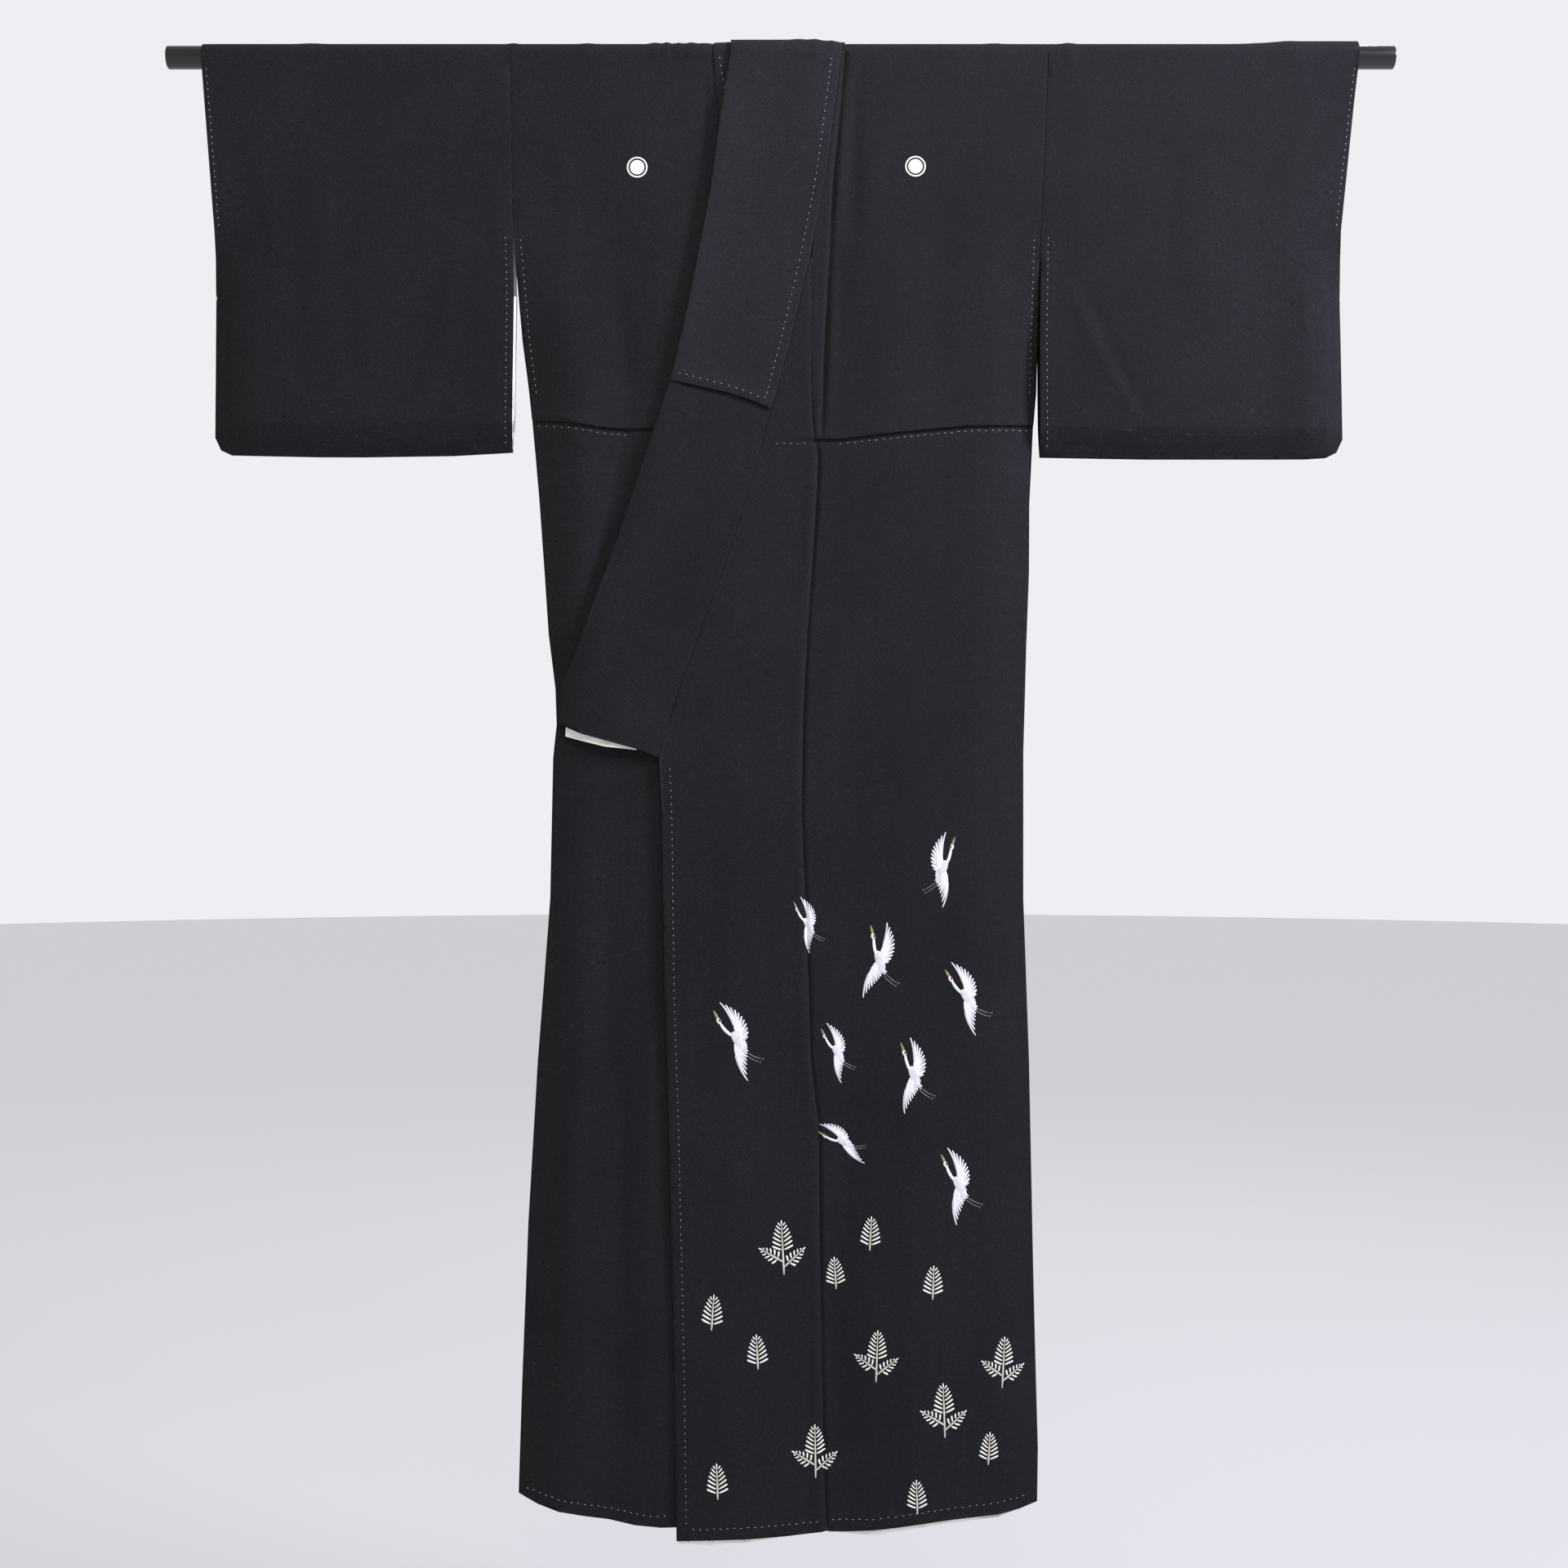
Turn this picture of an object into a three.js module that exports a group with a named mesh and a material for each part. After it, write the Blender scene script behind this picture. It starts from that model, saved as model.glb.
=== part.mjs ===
// Kurotomesode: a formal black kimono, hung flat on a round rod that runs through both sleeves.
// Units are millimetres. +Z is up, the front faces -Y and +X is the wearer's left side.
// The origin is the middle of the rod's axis. The left front laps over the right front.
import * as THREE from 'three';

// ---- driving dimensions ----
const ROD_RADIUS = 12.5;
const ROD_LENGTH = 1360;
const ROD_SIDES = 48;

const CLOTH = 1.4; // crepe and lining together, hems and seams pressed flat
const COLLAR_CLOTH = 1.3;
const OVER_COLLAR_CLOTH = 1.0;
const LINING_CLOTH = 1.0;
const LINING_GAP = 0.5; // between the white cloth and the panel in front of it
const SEAM = 0.3; // gap between pieces that are sewn together or lie on each other

const HALF_HOLLOW = 13.0; // from the rod's axis to the inside of the cloth that hangs on it
const EDGE_MEET = 0.15; // the same where front and back are sewn together at an edge
const LAP_RISE = 3.4; // the upper flap stands this far out over the under flap
const LAP_ENDS = { // its rise dies away between these places across, at the rod and from a height down
  atRod: { from: 43, to: 68 }, below: { from: -60, to: 60 }, height: -225,
};
const LAP_SINK = 4.0; // the under flap hangs this far back behind the upper body panel
const LAP_SINK_EASE = { start: -5, over: 55 }; // heights below the rod where it drops back
const UNDER_SHOWS = { from: -60, over: 60 }; // out from here the under flap has folds of its own
const SIDE_EASE = 65; // front and back close up over this width towards a side seam
const SLEEVE_EASE = 42; // and over this one towards the sleeve's sewn edges
const TUCK_STEP = 1.1; // the waist tuck's fold stands this far off the cloth below it

const CUFF_BOTTOM = -197; // the sleeve opening and the armhole end here
const SLIT_BOTTOM = -372; // the open side slit under the sleeve ends here
const SLEEVE_BOTTOM = -440;
const SLEEVE_CORNER_TOP = -424; // the outer edge is straight down to here
const KENSAKI = -215; // the overlap panels' seam leaves the collar here
const OVERLAP_TOP = -225; // and the panels' own pointed tops start here
const CORNER_RADIUS = 20; // lower outer corner of a sleeve
const NECK_HALF_WIDTH = 70;
const NECK_DEPTH = 34.8; // the back neckline's lowest point, along the cloth from the rod's top
const NECK_ROUND = 2.4; // how square the back neckline's curve is
const COLLAR_OVER_NECK = 1.5; // the collar's edge lies this far over the back neckline
const SHOULDER = 90; // degrees round the rod from the front, on top of it
const COLLAR_LOWEST = -740; // the collar's straight rows start above this height
const OVER_COLLAR_LOWEST = -360;
const FRONT_COLLAR_END = 92; // degrees over the rod where the front collar lengths stop
const BACK_COLLAR_START = 93.4; // and where the back length starts
const BACK_COLLAR_FLAT = 24; // half the straight stretch at the bottom of its curve
const BACK_COLLAR_ROLL = 1.5; // the back length rises this far to meet the upper front's collar
const BACK_COLLAR_STEP = 14; // over this width beside the upper collar's free edge
const OVERLAP_TUCK_SHARE = 0.4; // the tuck is this much thinner across the overlap panels
const COLLAR_LINING_START = 0.06; // share of the collar's width where the white starts under its end
const COLLAR_LINING_TOP = -700;
const LINING_INSET = 2; // white cloth lies this far in from the flap's front edge
const SLEEVE_LINING_WIDTH = 14;
const SLEEVE_LINING_SHOWS = 2.2; // it shows this far past the sleeve's open edge
const SLEEVE_LINING_TOP = -230;

const BLACK_CLOTH = { color: 0x242428, roughness: 0.86, metalness: 0 };
const WHITE_CLOTH = { color: 0xf3f0e8, roughness: 0.8, metalness: 0 };
const BLACK_PAINT = { color: 0x0d0d0f, roughness: 0.3, metalness: 0 };

// ---- edges, each as heights and places across, from the top down ----
const LAPEL_EDGE = [ // collar seam down to the collar's end, then the upper flap's front edge
  { z: 0, x: 67.5 }, { z: -38, x: 62.4 }, { z: -107, x: 53.6 }, { z: -151, x: 46.6 }, { z: -225, x: 32.2 },
  { z: -316, x: 11 }, { z: -372, x: -4 }, { z: -446, x: -25 }, { z: -500, x: -41 }, { z: -572, x: -64 },
  { z: -640, x: -89.5 }, { z: -700, x: -111.5 }, { z: -740, x: -124.5 }, { z: -777, x: -134 },
  { z: -840, x: -131 }, { z: -1030, x: -128.5 }, { z: -1184, x: -123.5 }, { z: -1472, x: -117 },
  { z: -1640, x: -115 },
];
const COLLAR_FREE_EDGE = [
  { z: 0, x: -55 }, { z: -66, x: -66 }, { z: -151, x: -77 }, { z: -268, x: -99.5 }, { z: -345, x: -117 },
  { z: -372, x: -125 }, { z: -446, x: -150 }, { z: -500, x: -168 }, { z: -572, x: -193 },
  { z: -640, x: -219 },
  { z: -700, x: -243 }, { z: -740, x: -245 },
];
const OVERLAP_SEAM = [
  { z: -215, x: 34.3 }, { z: -268, x: 33.5 }, { z: -345, x: 33.5 }, { z: -404, x: 35 }, { z: -446, x: 42 },
  { z: -500, x: 39.5 }, { z: -572, x: 34.5 }, { z: -640, x: 29.5 }, { z: -740, x: 25 },
  { z: -840, x: 23.4 },
  { z: -932, x: 27.5 }, { z: -1030, x: 31.5 }, { z: -1112, x: 33.5 }, { z: -1184, x: 42.3 },
  { z: -1382, x: 44.5 }, { z: -1543, x: 47.7 }, { z: -1630, x: 50.4 },
];
const RIGHT_SIDE_EDGE = [
  { z: 0, x: -298.6 }, { z: CUFF_BOTTOM, x: -295.4 }, { z: -240, x: -292 }, { z: -316, x: -286 },
  { z: SLIT_BOTTOM, x: -279 }, { z: -446, x: -271 }, { z: -572, x: -262 }, { z: -640, x: -257.5 },
  { z: -700, x: -250 }, { z: -740, x: -248.6 }, { z: -777, x: -252.5 }, { z: -932, x: -255.6 },
  { z: -1030, x: -263 }, { z: -1112, x: -269.5 }, { z: -1292, x: -280 }, { z: -1472, x: -287 },
  { z: -1591, x: -290.7 },
];
const LEFT_SIDE_EDGE = [
  { z: 0, x: 295.4 }, { z: CUFF_BOTTOM, x: 287 }, { z: SLIT_BOTTOM, x: 283.4 }, { z: -404, x: 280.6 },
  { z: -446, x: 275.9 }, { z: -572, x: 275.4 }, { z: -740, x: 269.2 }, { z: -932, x: 269 },
  { z: -1112, x: 275.4 }, { z: -1382, x: 280.8 }, { z: -1543, x: 285.2 }, { z: -1601, x: 284.4 },
];
const RIGHT_SLEEVE_EDGE = [
  { z: 0, x: -640 }, { z: CUFF_BOTTOM, x: -624.6 }, { z: -225, x: -624.6 }, { z: -268, x: -626 },
  { z: -424, x: -627.3 },
];
const LEFT_SLEEVE_EDGE = [
  { z: 0, x: 638 }, { z: CUFF_BOTTOM, x: 618 }, { z: -316, x: 621 }, { z: -424, x: 623 },
];
const RIGHT_SLEEVE_OPEN_EDGE = [
  { z: CUFF_BOTTOM, x: -295.7 }, { z: -268, x: -294.3 }, { z: -440, x: -297 },
];
const LEFT_SLEEVE_OPEN_EDGE = [
  { z: CUFF_BOTTOM, x: 287.3 }, { z: -316, x: 286 }, { z: -440, x: 287 },
];
const UNDER_COLLAR_SHIFT = [ // the under collar's seam lies further out than the upper one's mirror image
  { z: 0, x: 7 }, { z: -66, x: 11 }, { z: -107, x: 8 }, { z: -225, x: 0 },
];
const UNDER_FREE_INSET = [ // and its hidden free edge stops short of the mirror image near the rod
  { z: 0, x: 25 }, { z: -66, x: 34 }, { z: -151, x: 22 }, { z: -268, x: 0 },
];

// ---- lower edges, each as places across and heights ----
const UPPER_HEM = [
  { x: -115, z: -1640 }, { x: -17, z: -1637 }, { x: 48, z: -1632 }, { x: 53, z: -1629.5 },
  { x: 76, z: -1631.5 },
  { x: 98, z: -1630 }, { x: 139, z: -1624.5 }, { x: 173, z: -1619 }, { x: 236, z: -1613.5 },
  { x: 272, z: -1606 },
  { x: 285, z: -1601 },
];
const UNDER_HEM = [
  { x: -291, z: -1591 }, { x: -289, z: -1596 }, { x: -242, z: -1610 }, { x: -183, z: -1619.5 },
  { x: -148, z: -1627 }, { x: -115, z: -1626 }, { x: 115, z: -1622 },
];
const BACK_HEM = [
  { x: -291, z: -1591 }, { x: -240, z: -1603 }, { x: -120, z: -1610 }, { x: 0, z: -1611 },
  { x: 120, z: -1610 }, { x: 240, z: -1605 }, { x: 285, z: -1601 },
];
const COLLAR_END = [
  { x: -245, z: -740 }, { x: -237, z: -746 }, { x: -157, z: -768 }, { x: -134, z: -777 },
];
const OVER_COLLAR_END = [
  { x: -121, z: -362 }, { x: -77, z: -371 }, { x: -45, z: -379 }, { x: -9, z: -393 },
];
const RIGHT_SLEEVE_HEM = [
  { x: -630, z: -441 }, { x: -608, z: -441.5 }, { x: -488, z: -444 }, { x: -357, z: -442 },
  { x: -291, z: -438 },
];
const LEFT_SLEEVE_HEM = [
  { x: 285, z: -444 }, { x: 400, z: -446 }, { x: 580, z: -446 }, { x: 626, z: -443 },
];
const OVERLAP_LINING_HEM = [
  { x: -113, z: -1643.5 }, { x: -86, z: -1646 }, { x: -40, z: -1642.5 }, { x: 23, z: -1634 },
  { x: 46, z: -1629 },
];
const BODY_LINING_HEM = [
  { x: 50, z: -1632 }, { x: 98, z: -1636 }, { x: 139, z: -1630 }, { x: 173, z: -1623.5 },
  { x: 236, z: -1617 },
  { x: 271, z: -1606 },
];
const COLLAR_LINING_HEM = [
  { x: -237, z: -753.5 }, { x: -200, z: -764 }, { x: -155, z: -769 },
];
const UPPER_TUCK = [
  { x: -150, z: -424 }, { x: 62, z: -426 }, { x: 133, z: -418.5 }, { x: 207, z: -411 }, { x: 284, z: -409 },
];
const UNDER_TUCK = [
  { x: -280, z: -402 }, { x: -238, z: -406 }, { x: -190, z: -414 }, { x: 150, z: -415 },
];

// ---- the largest folds: soft troughs (rise below 0) and ridges that run down the cloth ----
const UPPER_FOLDS = [
  { x: 82, lean: -20, top: -20, bottom: -360, width: 20, rise: -1.6 },
  { x: 120, lean: 14, top: -60, bottom: -900, width: 42, rise: 2.2 },
  { x: 60, lean: 10, top: -1080, bottom: -1700, width: 24, rise: -2.6 },
  { x: 135, lean: 22, top: -820, bottom: -1700, width: 46, rise: 2.6 },
  { x: 205, lean: 12, top: -1150, bottom: -1700, width: 30, rise: -2.0 },
  { x: -70, lean: 12, top: -900, bottom: -1700, width: 40, rise: 1.8 },
];
const UNDER_FOLDS = [
  { x: -176, lean: -8, top: -150, bottom: -820, width: 34, rise: -3.4 },
  { x: -225, lean: -6, top: -240, bottom: -700, width: 26, rise: 2.0 },
  { x: -196, lean: 8, top: -740, bottom: -1700, width: 30, rise: -4.2 },
  { x: -238, lean: -4, top: -840, bottom: -1700, width: 24, rise: 1.6 },
  { x: -150, lean: 0, top: -740, bottom: -1100, width: 34, rise: -2.6 },
];
const BACK_FOLDS = [
  { x: -190, lean: -14, top: -120, bottom: -900, width: 40, rise: 2.2 },
  { x: -110, lean: 10, top: -700, bottom: -1700, width: 38, rise: -2.6 },
  { x: 96, lean: -16, top: -600, bottom: -1700, width: 42, rise: 2.4 },
  { x: 178, lean: 18, top: -150, bottom: -1100, width: 36, rise: -2.2 },
  { x: 214, lean: 8, top: -1100, bottom: -1700, width: 30, rise: 1.8 },
  { x: -222, lean: -8, top: -1050, bottom: -1700, width: 28, rise: -1.8 },
];
const RIGHT_SLEEVE_FOLDS = [
  { x: -500, lean: -26, top: -40, bottom: -460, width: 44, rise: 2.4 },
  { x: -410, lean: 30, top: -120, bottom: -460, width: 38, rise: -2.0 },
];
const LEFT_SLEEVE_FOLDS = [
  { x: 350, lean: 46, top: -250, bottom: -460, width: 26, rise: 2.2 },
  { x: 560, lean: -36, top: -60, bottom: -460, width: 40, rise: -2.0 },
  { x: 460, lean: 10, top: -60, bottom: -460, width: 44, rise: 1.8 },
];
const FOLD_FADE = 90; // a fold grows and dies out over this length
const COLLAR_END_LIFT = { // the collar's end stands off the cloth, less and less towards its seam
  x: -195, z: -752, spread: 70, rise: 6, until: -85, ease: 60,
};
const CUFF_CLOSING = 60; // below the cuff the sleeve's outer edges come together over this length
const CUFF_LIFT = { x: 540, over: 22, bottom: -60, rise: 3 }; // the left cuff stands off the rod

// ---- how finely the cloth is divided ----
const FRONT_HEIGHTS = [
  -1575, -1543, -1472, -1382, -1292, -1184, -1112, -1030, -932, -840, -777, -740, -700, -640, -572, -500,
  -446,
  -432, -428, -372, -345, -316, -268, -225, CUFF_BOTTOM, -151, -107, -66, -38, -16, 0,
];
const TUCK_LOW = -432; // this height and the next follow the tuck's line instead
const TUCK_HIGH = -428;
const TUCK_LINE_WIDTH = 2;
const TUCK_FADE = 30; // the tuck's fold dies away upwards over about this length
const BACK_HEIGHTS = [
  0, -5, -9.6, -12.6, -14.4, -30, -66, -107, -151, CUFF_BOTTOM, -268, -316, -372, -428, -432, -500, -640,
  -777,
  -932, -1112, -1292, -1472, -1543,
];
const ROD_ANGLES = [22.5, 45, 67.5, 90, 112.5, 135, 157.5];
const BODY_COLUMNS = [0, 0.1, 0.22, 0.34, 0.46, 0.58, 0.7, 0.81, 0.91, 1]; // from the middle to the side
const SLEEVE_COLUMNS = [0, 0.06, 0.2, 0.35, 0.5, 0.65, 0.78, 0.88, 0.945, 0.98, 1]; // to the cuff
const STRIP_COLUMNS = [0, 0.25, 0.5, 0.75, 1];
const COLLAR_COLUMNS = [0, 0.22, 0.44, 0.62, 0.76, 0.88, 1];
const BACK_COLLAR_COLUMNS = [0, 0.08, 0.18, 0.3, 0.43, 0.57, 0.7, 0.82, 0.92, 1];
const BACK_COLLAR_HEIGHTS = [0, -5, -9.6, -12.6, -15.6];
const SLEEVE_HEIGHTS = [-372, -316, -268, -225, CUFF_BOTTOM, -151, -107, -66, -38, -16, 0];
const SLEEVE_HEM_ROWS = [0, 6, 16, 32]; // heights above the sewn bottom
const HEM_LINING_HEIGHTS = [-1600, -1575];

const FRONT = 0; // angles round the rod: 0 hangs in front, 90 lies on top, 180 hangs behind
const BACK = 180;

// ---- small maths ----
function smooth(value) {
  const t = Math.min(1, Math.max(0, value));
  return t * t * (3 - 2 * t);
}

function bell(distance) {
  return Math.exp(-distance * distance);
}

// The value of one column of a table where another column has the given value, in straight steps.
function lookUp(table, key, column, value) {
  const rising = table[0][key] < table[table.length - 1][key];
  const rows = rising ? table : [...table].reverse();
  if (value <= rows[0][key]) return rows[0][column];
  for (let i = 1; i < rows.length; i += 1) {
    if (value <= rows[i][key]) {
      const share = (value - rows[i - 1][key]) / (rows[i][key] - rows[i - 1][key]);
      return rows[i - 1][column] + share * (rows[i][column] - rows[i - 1][column]);
    }
  }
  return rows[rows.length - 1][column];
}

const across = (table, z) => lookUp(table, 'z', 'x', z);
const heightOf = (table, x) => lookUp(table, 'x', 'z', x);

// ---- where the cloth lies ----
function foldRise(folds, x, z) {
  let rise = 0;
  for (const fold of folds) {
    const run = (fold.top - z) / (fold.top - fold.bottom);
    const middle = fold.x + fold.lean * run;
    const strength = smooth((fold.top - z) / FOLD_FADE) * smooth((z - fold.bottom) / FOLD_FADE);
    rise += fold.rise * strength * bell((x - middle) / fold.width);
  }
  return rise;
}

// Front and back hang as far apart as the rod is thick, and close up towards the side seams.
function bodyHollow(x, z, folds) {
  const toSide = Math.max(0, Math.min(x - across(RIGHT_SIDE_EDGE, z), across(LEFT_SIDE_EDGE, z) - x));
  const open = Math.sin((Math.PI / 2) * Math.min(1, toSide / SIDE_EASE));
  const closed = smooth((CUFF_BOTTOM - z) / (CUFF_BOTTOM - SLIT_BOTTOM));
  const full = HALF_HOLLOW + foldRise(folds, x, z) * open;
  return full - (full - EDGE_MEET) * closed * (1 - open);
}

// 1 where the upper flap lies over the under flap, falling to 0 beyond the middle.
function lapShare(x, z) {
  const { atRod, below, height } = LAP_ENDS;
  const down = smooth(z / height);
  const from = atRod.from + (below.from - atRod.from) * down;
  const to = atRod.to + (below.to - atRod.to) * down;
  return 1 - smooth((x - from) / (to - from));
}

function upperDepth(x, z) {
  const lift = COLLAR_END_LIFT;
  const off = bell(Math.hypot(x - lift.x, z - lift.z) / lift.spread) * lift.rise;
  const shown = smooth((lift.until - x) / lift.ease);
  return bodyHollow(x, z, UPPER_FOLDS) + LAP_RISE * lapShare(x, z) + off * shown;
}

function underDepth(x, z) {
  const hidden = 1 - lapShare(x, z);
  const belowRod = smooth((LAP_SINK_EASE.start - z) / LAP_SINK_EASE.over);
  const toSide = x - across(RIGHT_SIDE_EDGE, z);
  const ownShare = smooth((UNDER_SHOWS.from - x) / UNDER_SHOWS.over) * smooth(toSide / SIDE_EASE);
  const upperShare = smooth((x - UNDER_SHOWS.from) / UNDER_SHOWS.over) * hidden;
  return bodyHollow(x, z, []) - LAP_SINK * hidden * belowRod
    + foldRise(UNDER_FOLDS, x, z) * ownShare + foldRise(UPPER_FOLDS, x, z) * upperShare;
}

function sleeveDepth(x, z, left, hem, folds) {
  const toOuter = Math.abs(sleeveOuterEdge(left, z) - x);
  const sideOpen = Math.sin((Math.PI / 2) * Math.min(1, toOuter / SLEEVE_EASE));
  const sewn = smooth((CUFF_BOTTOM - z) / CUFF_CLOSING);
  const toHem = Math.max(0, z - sleeveHem(x, left, hem));
  const hemOpen = Math.sin((Math.PI / 2) * Math.min(1, toHem / SLEEVE_EASE));
  const open = (1 - sewn * (1 - sideOpen)) * hemOpen;
  const lift = CUFF_LIFT;
  const nearCuff = smooth((x - lift.x) / lift.over) * smooth((z - lift.bottom) / -lift.bottom);
  const lifted = left ? lift.rise * nearCuff : 0;
  return EDGE_MEET + (HALF_HOLLOW - EDGE_MEET + lifted + foldRise(folds, x, z)) * open;
}

// ---- edges worked out from the tables ----
const underLapel = (z) => -across(LAPEL_EDGE, z) - across(UNDER_COLLAR_SHIFT, z);
const underFree = (z) => -across(COLLAR_FREE_EDGE, z) - across(UNDER_FREE_INSET, z);

// Half the neck hole's width at a distance down the back, along the cloth from the rod's top.
function neckHalfWidth(down) {
  const share = Math.min(1, Math.max(0, down / NECK_DEPTH));
  return NECK_HALF_WIDTH * (1 - share ** NECK_ROUND) ** (1 / NECK_ROUND);
}

function downBack(angle, z) {
  return HALF_HOLLOW * THREE.MathUtils.degToRad(angle - SHOULDER) - z;
}

function sleeveOuterEdge(left, z) {
  return across(left ? LEFT_SLEEVE_EDGE : RIGHT_SLEEVE_EDGE, z);
}

// Sewn to the body along the armhole, then a free edge beside the open side slit.
function sleeveInnerEdge(left, z) {
  const seam = left ? SEAM : -SEAM;
  if (z >= CUFF_BOTTOM) return across(left ? LEFT_SIDE_EDGE : RIGHT_SIDE_EDGE, z) + seam;
  return across(left ? LEFT_SLEEVE_OPEN_EDGE : RIGHT_SLEEVE_OPEN_EDGE, z);
}

function sleeveHem(x, left, hem) {
  const toOuter = Math.abs(sleeveOuterEdge(left, SLEEVE_CORNER_TOP) - x);
  const inward = Math.min(CORNER_RADIUS, Math.max(0, CORNER_RADIUS - toOuter));
  return heightOf(hem, x) + CORNER_RADIUS - Math.sqrt(CORNER_RADIUS ** 2 - inward ** 2);
}

// ---- building one piece of cloth ----
// A spot on the cloth: hanging in front, lying over the rod or hanging behind, at a depth from its axis.
function spot(x, angle, z, depth) {
  const turn = THREE.MathUtils.degToRad(angle);
  return [x, -depth * Math.cos(turn), z + depth * Math.sin(turn)];
}

// A closed wall between an inner and an outer grid of spots, each a row of columns from -X to +X.
function wallGeometry(positions, rowCount, width) {
  const layer = rowCount * width;
  const indices = [];
  const quad = (a, b, c, d) => indices.push(a, b, c, a, c, d);
  for (let r = 0; r < rowCount - 1; r += 1) {
    const row = r * width;
    for (let c = 0; c < width - 1; c += 1) {
      const a = row + c;
      quad(layer + a, layer + a + 1, layer + a + 1 + width, layer + a + width);
      quad(a, a + width, a + 1 + width, a + 1);
    }
    const end = row + width - 1;
    quad(row, layer + row, layer + row + width, row + width);
    quad(end, end + width, layer + end + width, layer + end);
  }
  const last = (rowCount - 1) * width;
  for (let c = 0; c < width - 1; c += 1) {
    quad(c, c + 1, layer + c + 1, layer + c);
    quad(last + c, layer + last + c, layer + last + c + 1, last + c + 1);
  }
  const geometry = new THREE.BufferGeometry();
  geometry.setAttribute('position', new THREE.Float32BufferAttribute(positions, 3));
  geometry.setIndex(indices);
  geometry.computeVertexNormals();
  return geometry;
}

// One piece of cloth. Its rows run from the front's lower edge up over the rod and down the back, its
// columns share out the width between two edges, and its thickness is straight out from the rod.
function cloth({ name, rows, columns, edges, depth, thickness, relief = () => 0, finish = BLACK_CLOTH }) {
  const positions = [];
  for (const outside of [0, 1]) {
    for (const row of rows) {
      for (const share of columns) {
        let { angle, z } = row;
        const placeAcross = () => {
          const [low, high] = edges(angle, z);
          return low + share * (high - low);
        };
        let x = placeAcross();
        for (let pass = 0; row.follow && pass < 2; pass += 1) {
          ({ angle, z } = row.follow(x));
          x = placeAcross();
        }
        const out = depth(x, z, angle) + outside * (thickness + relief(x, z, angle));
        positions.push(...spot(x, angle, z, out));
      }
    }
  }
  const geometry = wallGeometry(positions, rows.length, columns.length);
  const mesh = new THREE.Mesh(geometry, new THREE.MeshStandardMaterial(finish));
  mesh.name = name;
  return mesh;
}

// ---- rows ----
// Rows across hanging cloth. The two at the tuck follow its line, a width apart.
function hangingRows(heights, angle, tuck, width = TUCK_LINE_WIDTH) {
  const beside = (gap) => (x) => ({ angle, z: heightOf(tuck, x) + gap });
  return heights.map((z) => {
    if (z === TUCK_LOW) return { angle, z, follow: beside(-width / 2) };
    if (z === TUCK_HIGH) return { angle, z, follow: beside(width / 2) };
    return { angle, z };
  });
}

const endRow = (angle, table) => ({
  angle,
  z: table[0].z,
  follow: (x) => ({ angle, z: heightOf(table, x) }),
});
const halfwayRow = (table, top) => ({
  angle: FRONT,
  z: (table[0].z + top) / 2,
  follow: (x) => ({ angle: FRONT, z: (heightOf(table, x) + top) / 2 }),
});
const overRod = (angles) => angles.map((angle) => ({ angle, z: 0 }));
const fromSide = (columns) => columns.map((share) => 1 - share).reverse();
const mirrored = (table) => table.map(({ x, z }) => ({ x: -x, z }));

// The tuck's fold stands out just above its line and dies away upwards.
function tuckRelief(tuck, strength) {
  return (x, z, angle) => {
    const above = z - heightOf(tuck, x);
    const hangs = angle === FRONT || angle === BACK;
    return hangs && above > 0 ? TUCK_STEP * strength * Math.exp(-above / TUCK_FADE) : 0;
  };
}

// ---- the pieces ----
function rod() {
  const geometry = new THREE.CylinderGeometry(ROD_RADIUS, ROD_RADIUS, ROD_LENGTH, ROD_SIDES);
  const mesh = new THREE.Mesh(geometry, new THREE.MeshStandardMaterial(BLACK_PAINT));
  mesh.rotation.z = Math.PI / 2;
  mesh.name = 'rod';
  return mesh;
}

// One length of cloth runs from the front hem over the shoulder to the back hem, with a tuck sewn
// across front and back. It is built as the part above the tucks and the two parts that hang from them.
function bodyPart(left, part) {
  const side = left ? 1 : -1;
  const tuck = left ? UPPER_TUCK : UNDER_TUCK;
  const outerEdge = left ? LEFT_SIDE_EDGE : RIGHT_SIDE_EDGE;
  const innerEdge = (angle, z) => {
    if (angle > SHOULDER) {
      const down = downBack(angle, z);
      return down < NECK_DEPTH ? side * (neckHalfWidth(down) + SEAM) : (side * SEAM) / 2;
    }
    if (z > KENSAKI) return (left ? across(LAPEL_EDGE, z) : underLapel(z)) + (side * SEAM) / 2;
    return side * (across(OVERLAP_SEAM, z) + SEAM / 2);
  };
  const frontDepth = left ? upperDepth : underDepth;
  const above = (heights, angle) => hangingRows(heights.filter((z) => z >= TUCK_HIGH), angle, tuck, SEAM);
  const below = (heights, angle) => hangingRows(heights.filter((z) => z <= TUCK_LOW), angle, tuck, SEAM);
  const rows = {
    upper: [...above(FRONT_HEIGHTS, FRONT), ...overRod(ROD_ANGLES), ...above(BACK_HEIGHTS, BACK)],
    lower_front: [endRow(FRONT, left ? UPPER_HEM : UNDER_HEM), ...below(FRONT_HEIGHTS, FRONT)],
    lower_back: [...below(BACK_HEIGHTS, BACK), endRow(BACK, BACK_HEM)],
  };
  return cloth({
    name: `body_${left ? 'left' : 'right'}_${part}`,
    rows: rows[part],
    columns: left ? BODY_COLUMNS : fromSide(BODY_COLUMNS),
    edges: (angle, z) => {
      const ends = [innerEdge(angle, z), across(outerEdge, z)];
      return left ? ends : ends.reverse();
    },
    depth: (x, z, angle) => {
      if (angle === FRONT) return frontDepth(x, z);
      return angle === BACK ? bodyHollow(x, z, BACK_FOLDS) : HALF_HOLLOW;
    },
    thickness: CLOTH,
    relief: tuckRelief(tuck, 1),
  });
}

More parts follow.
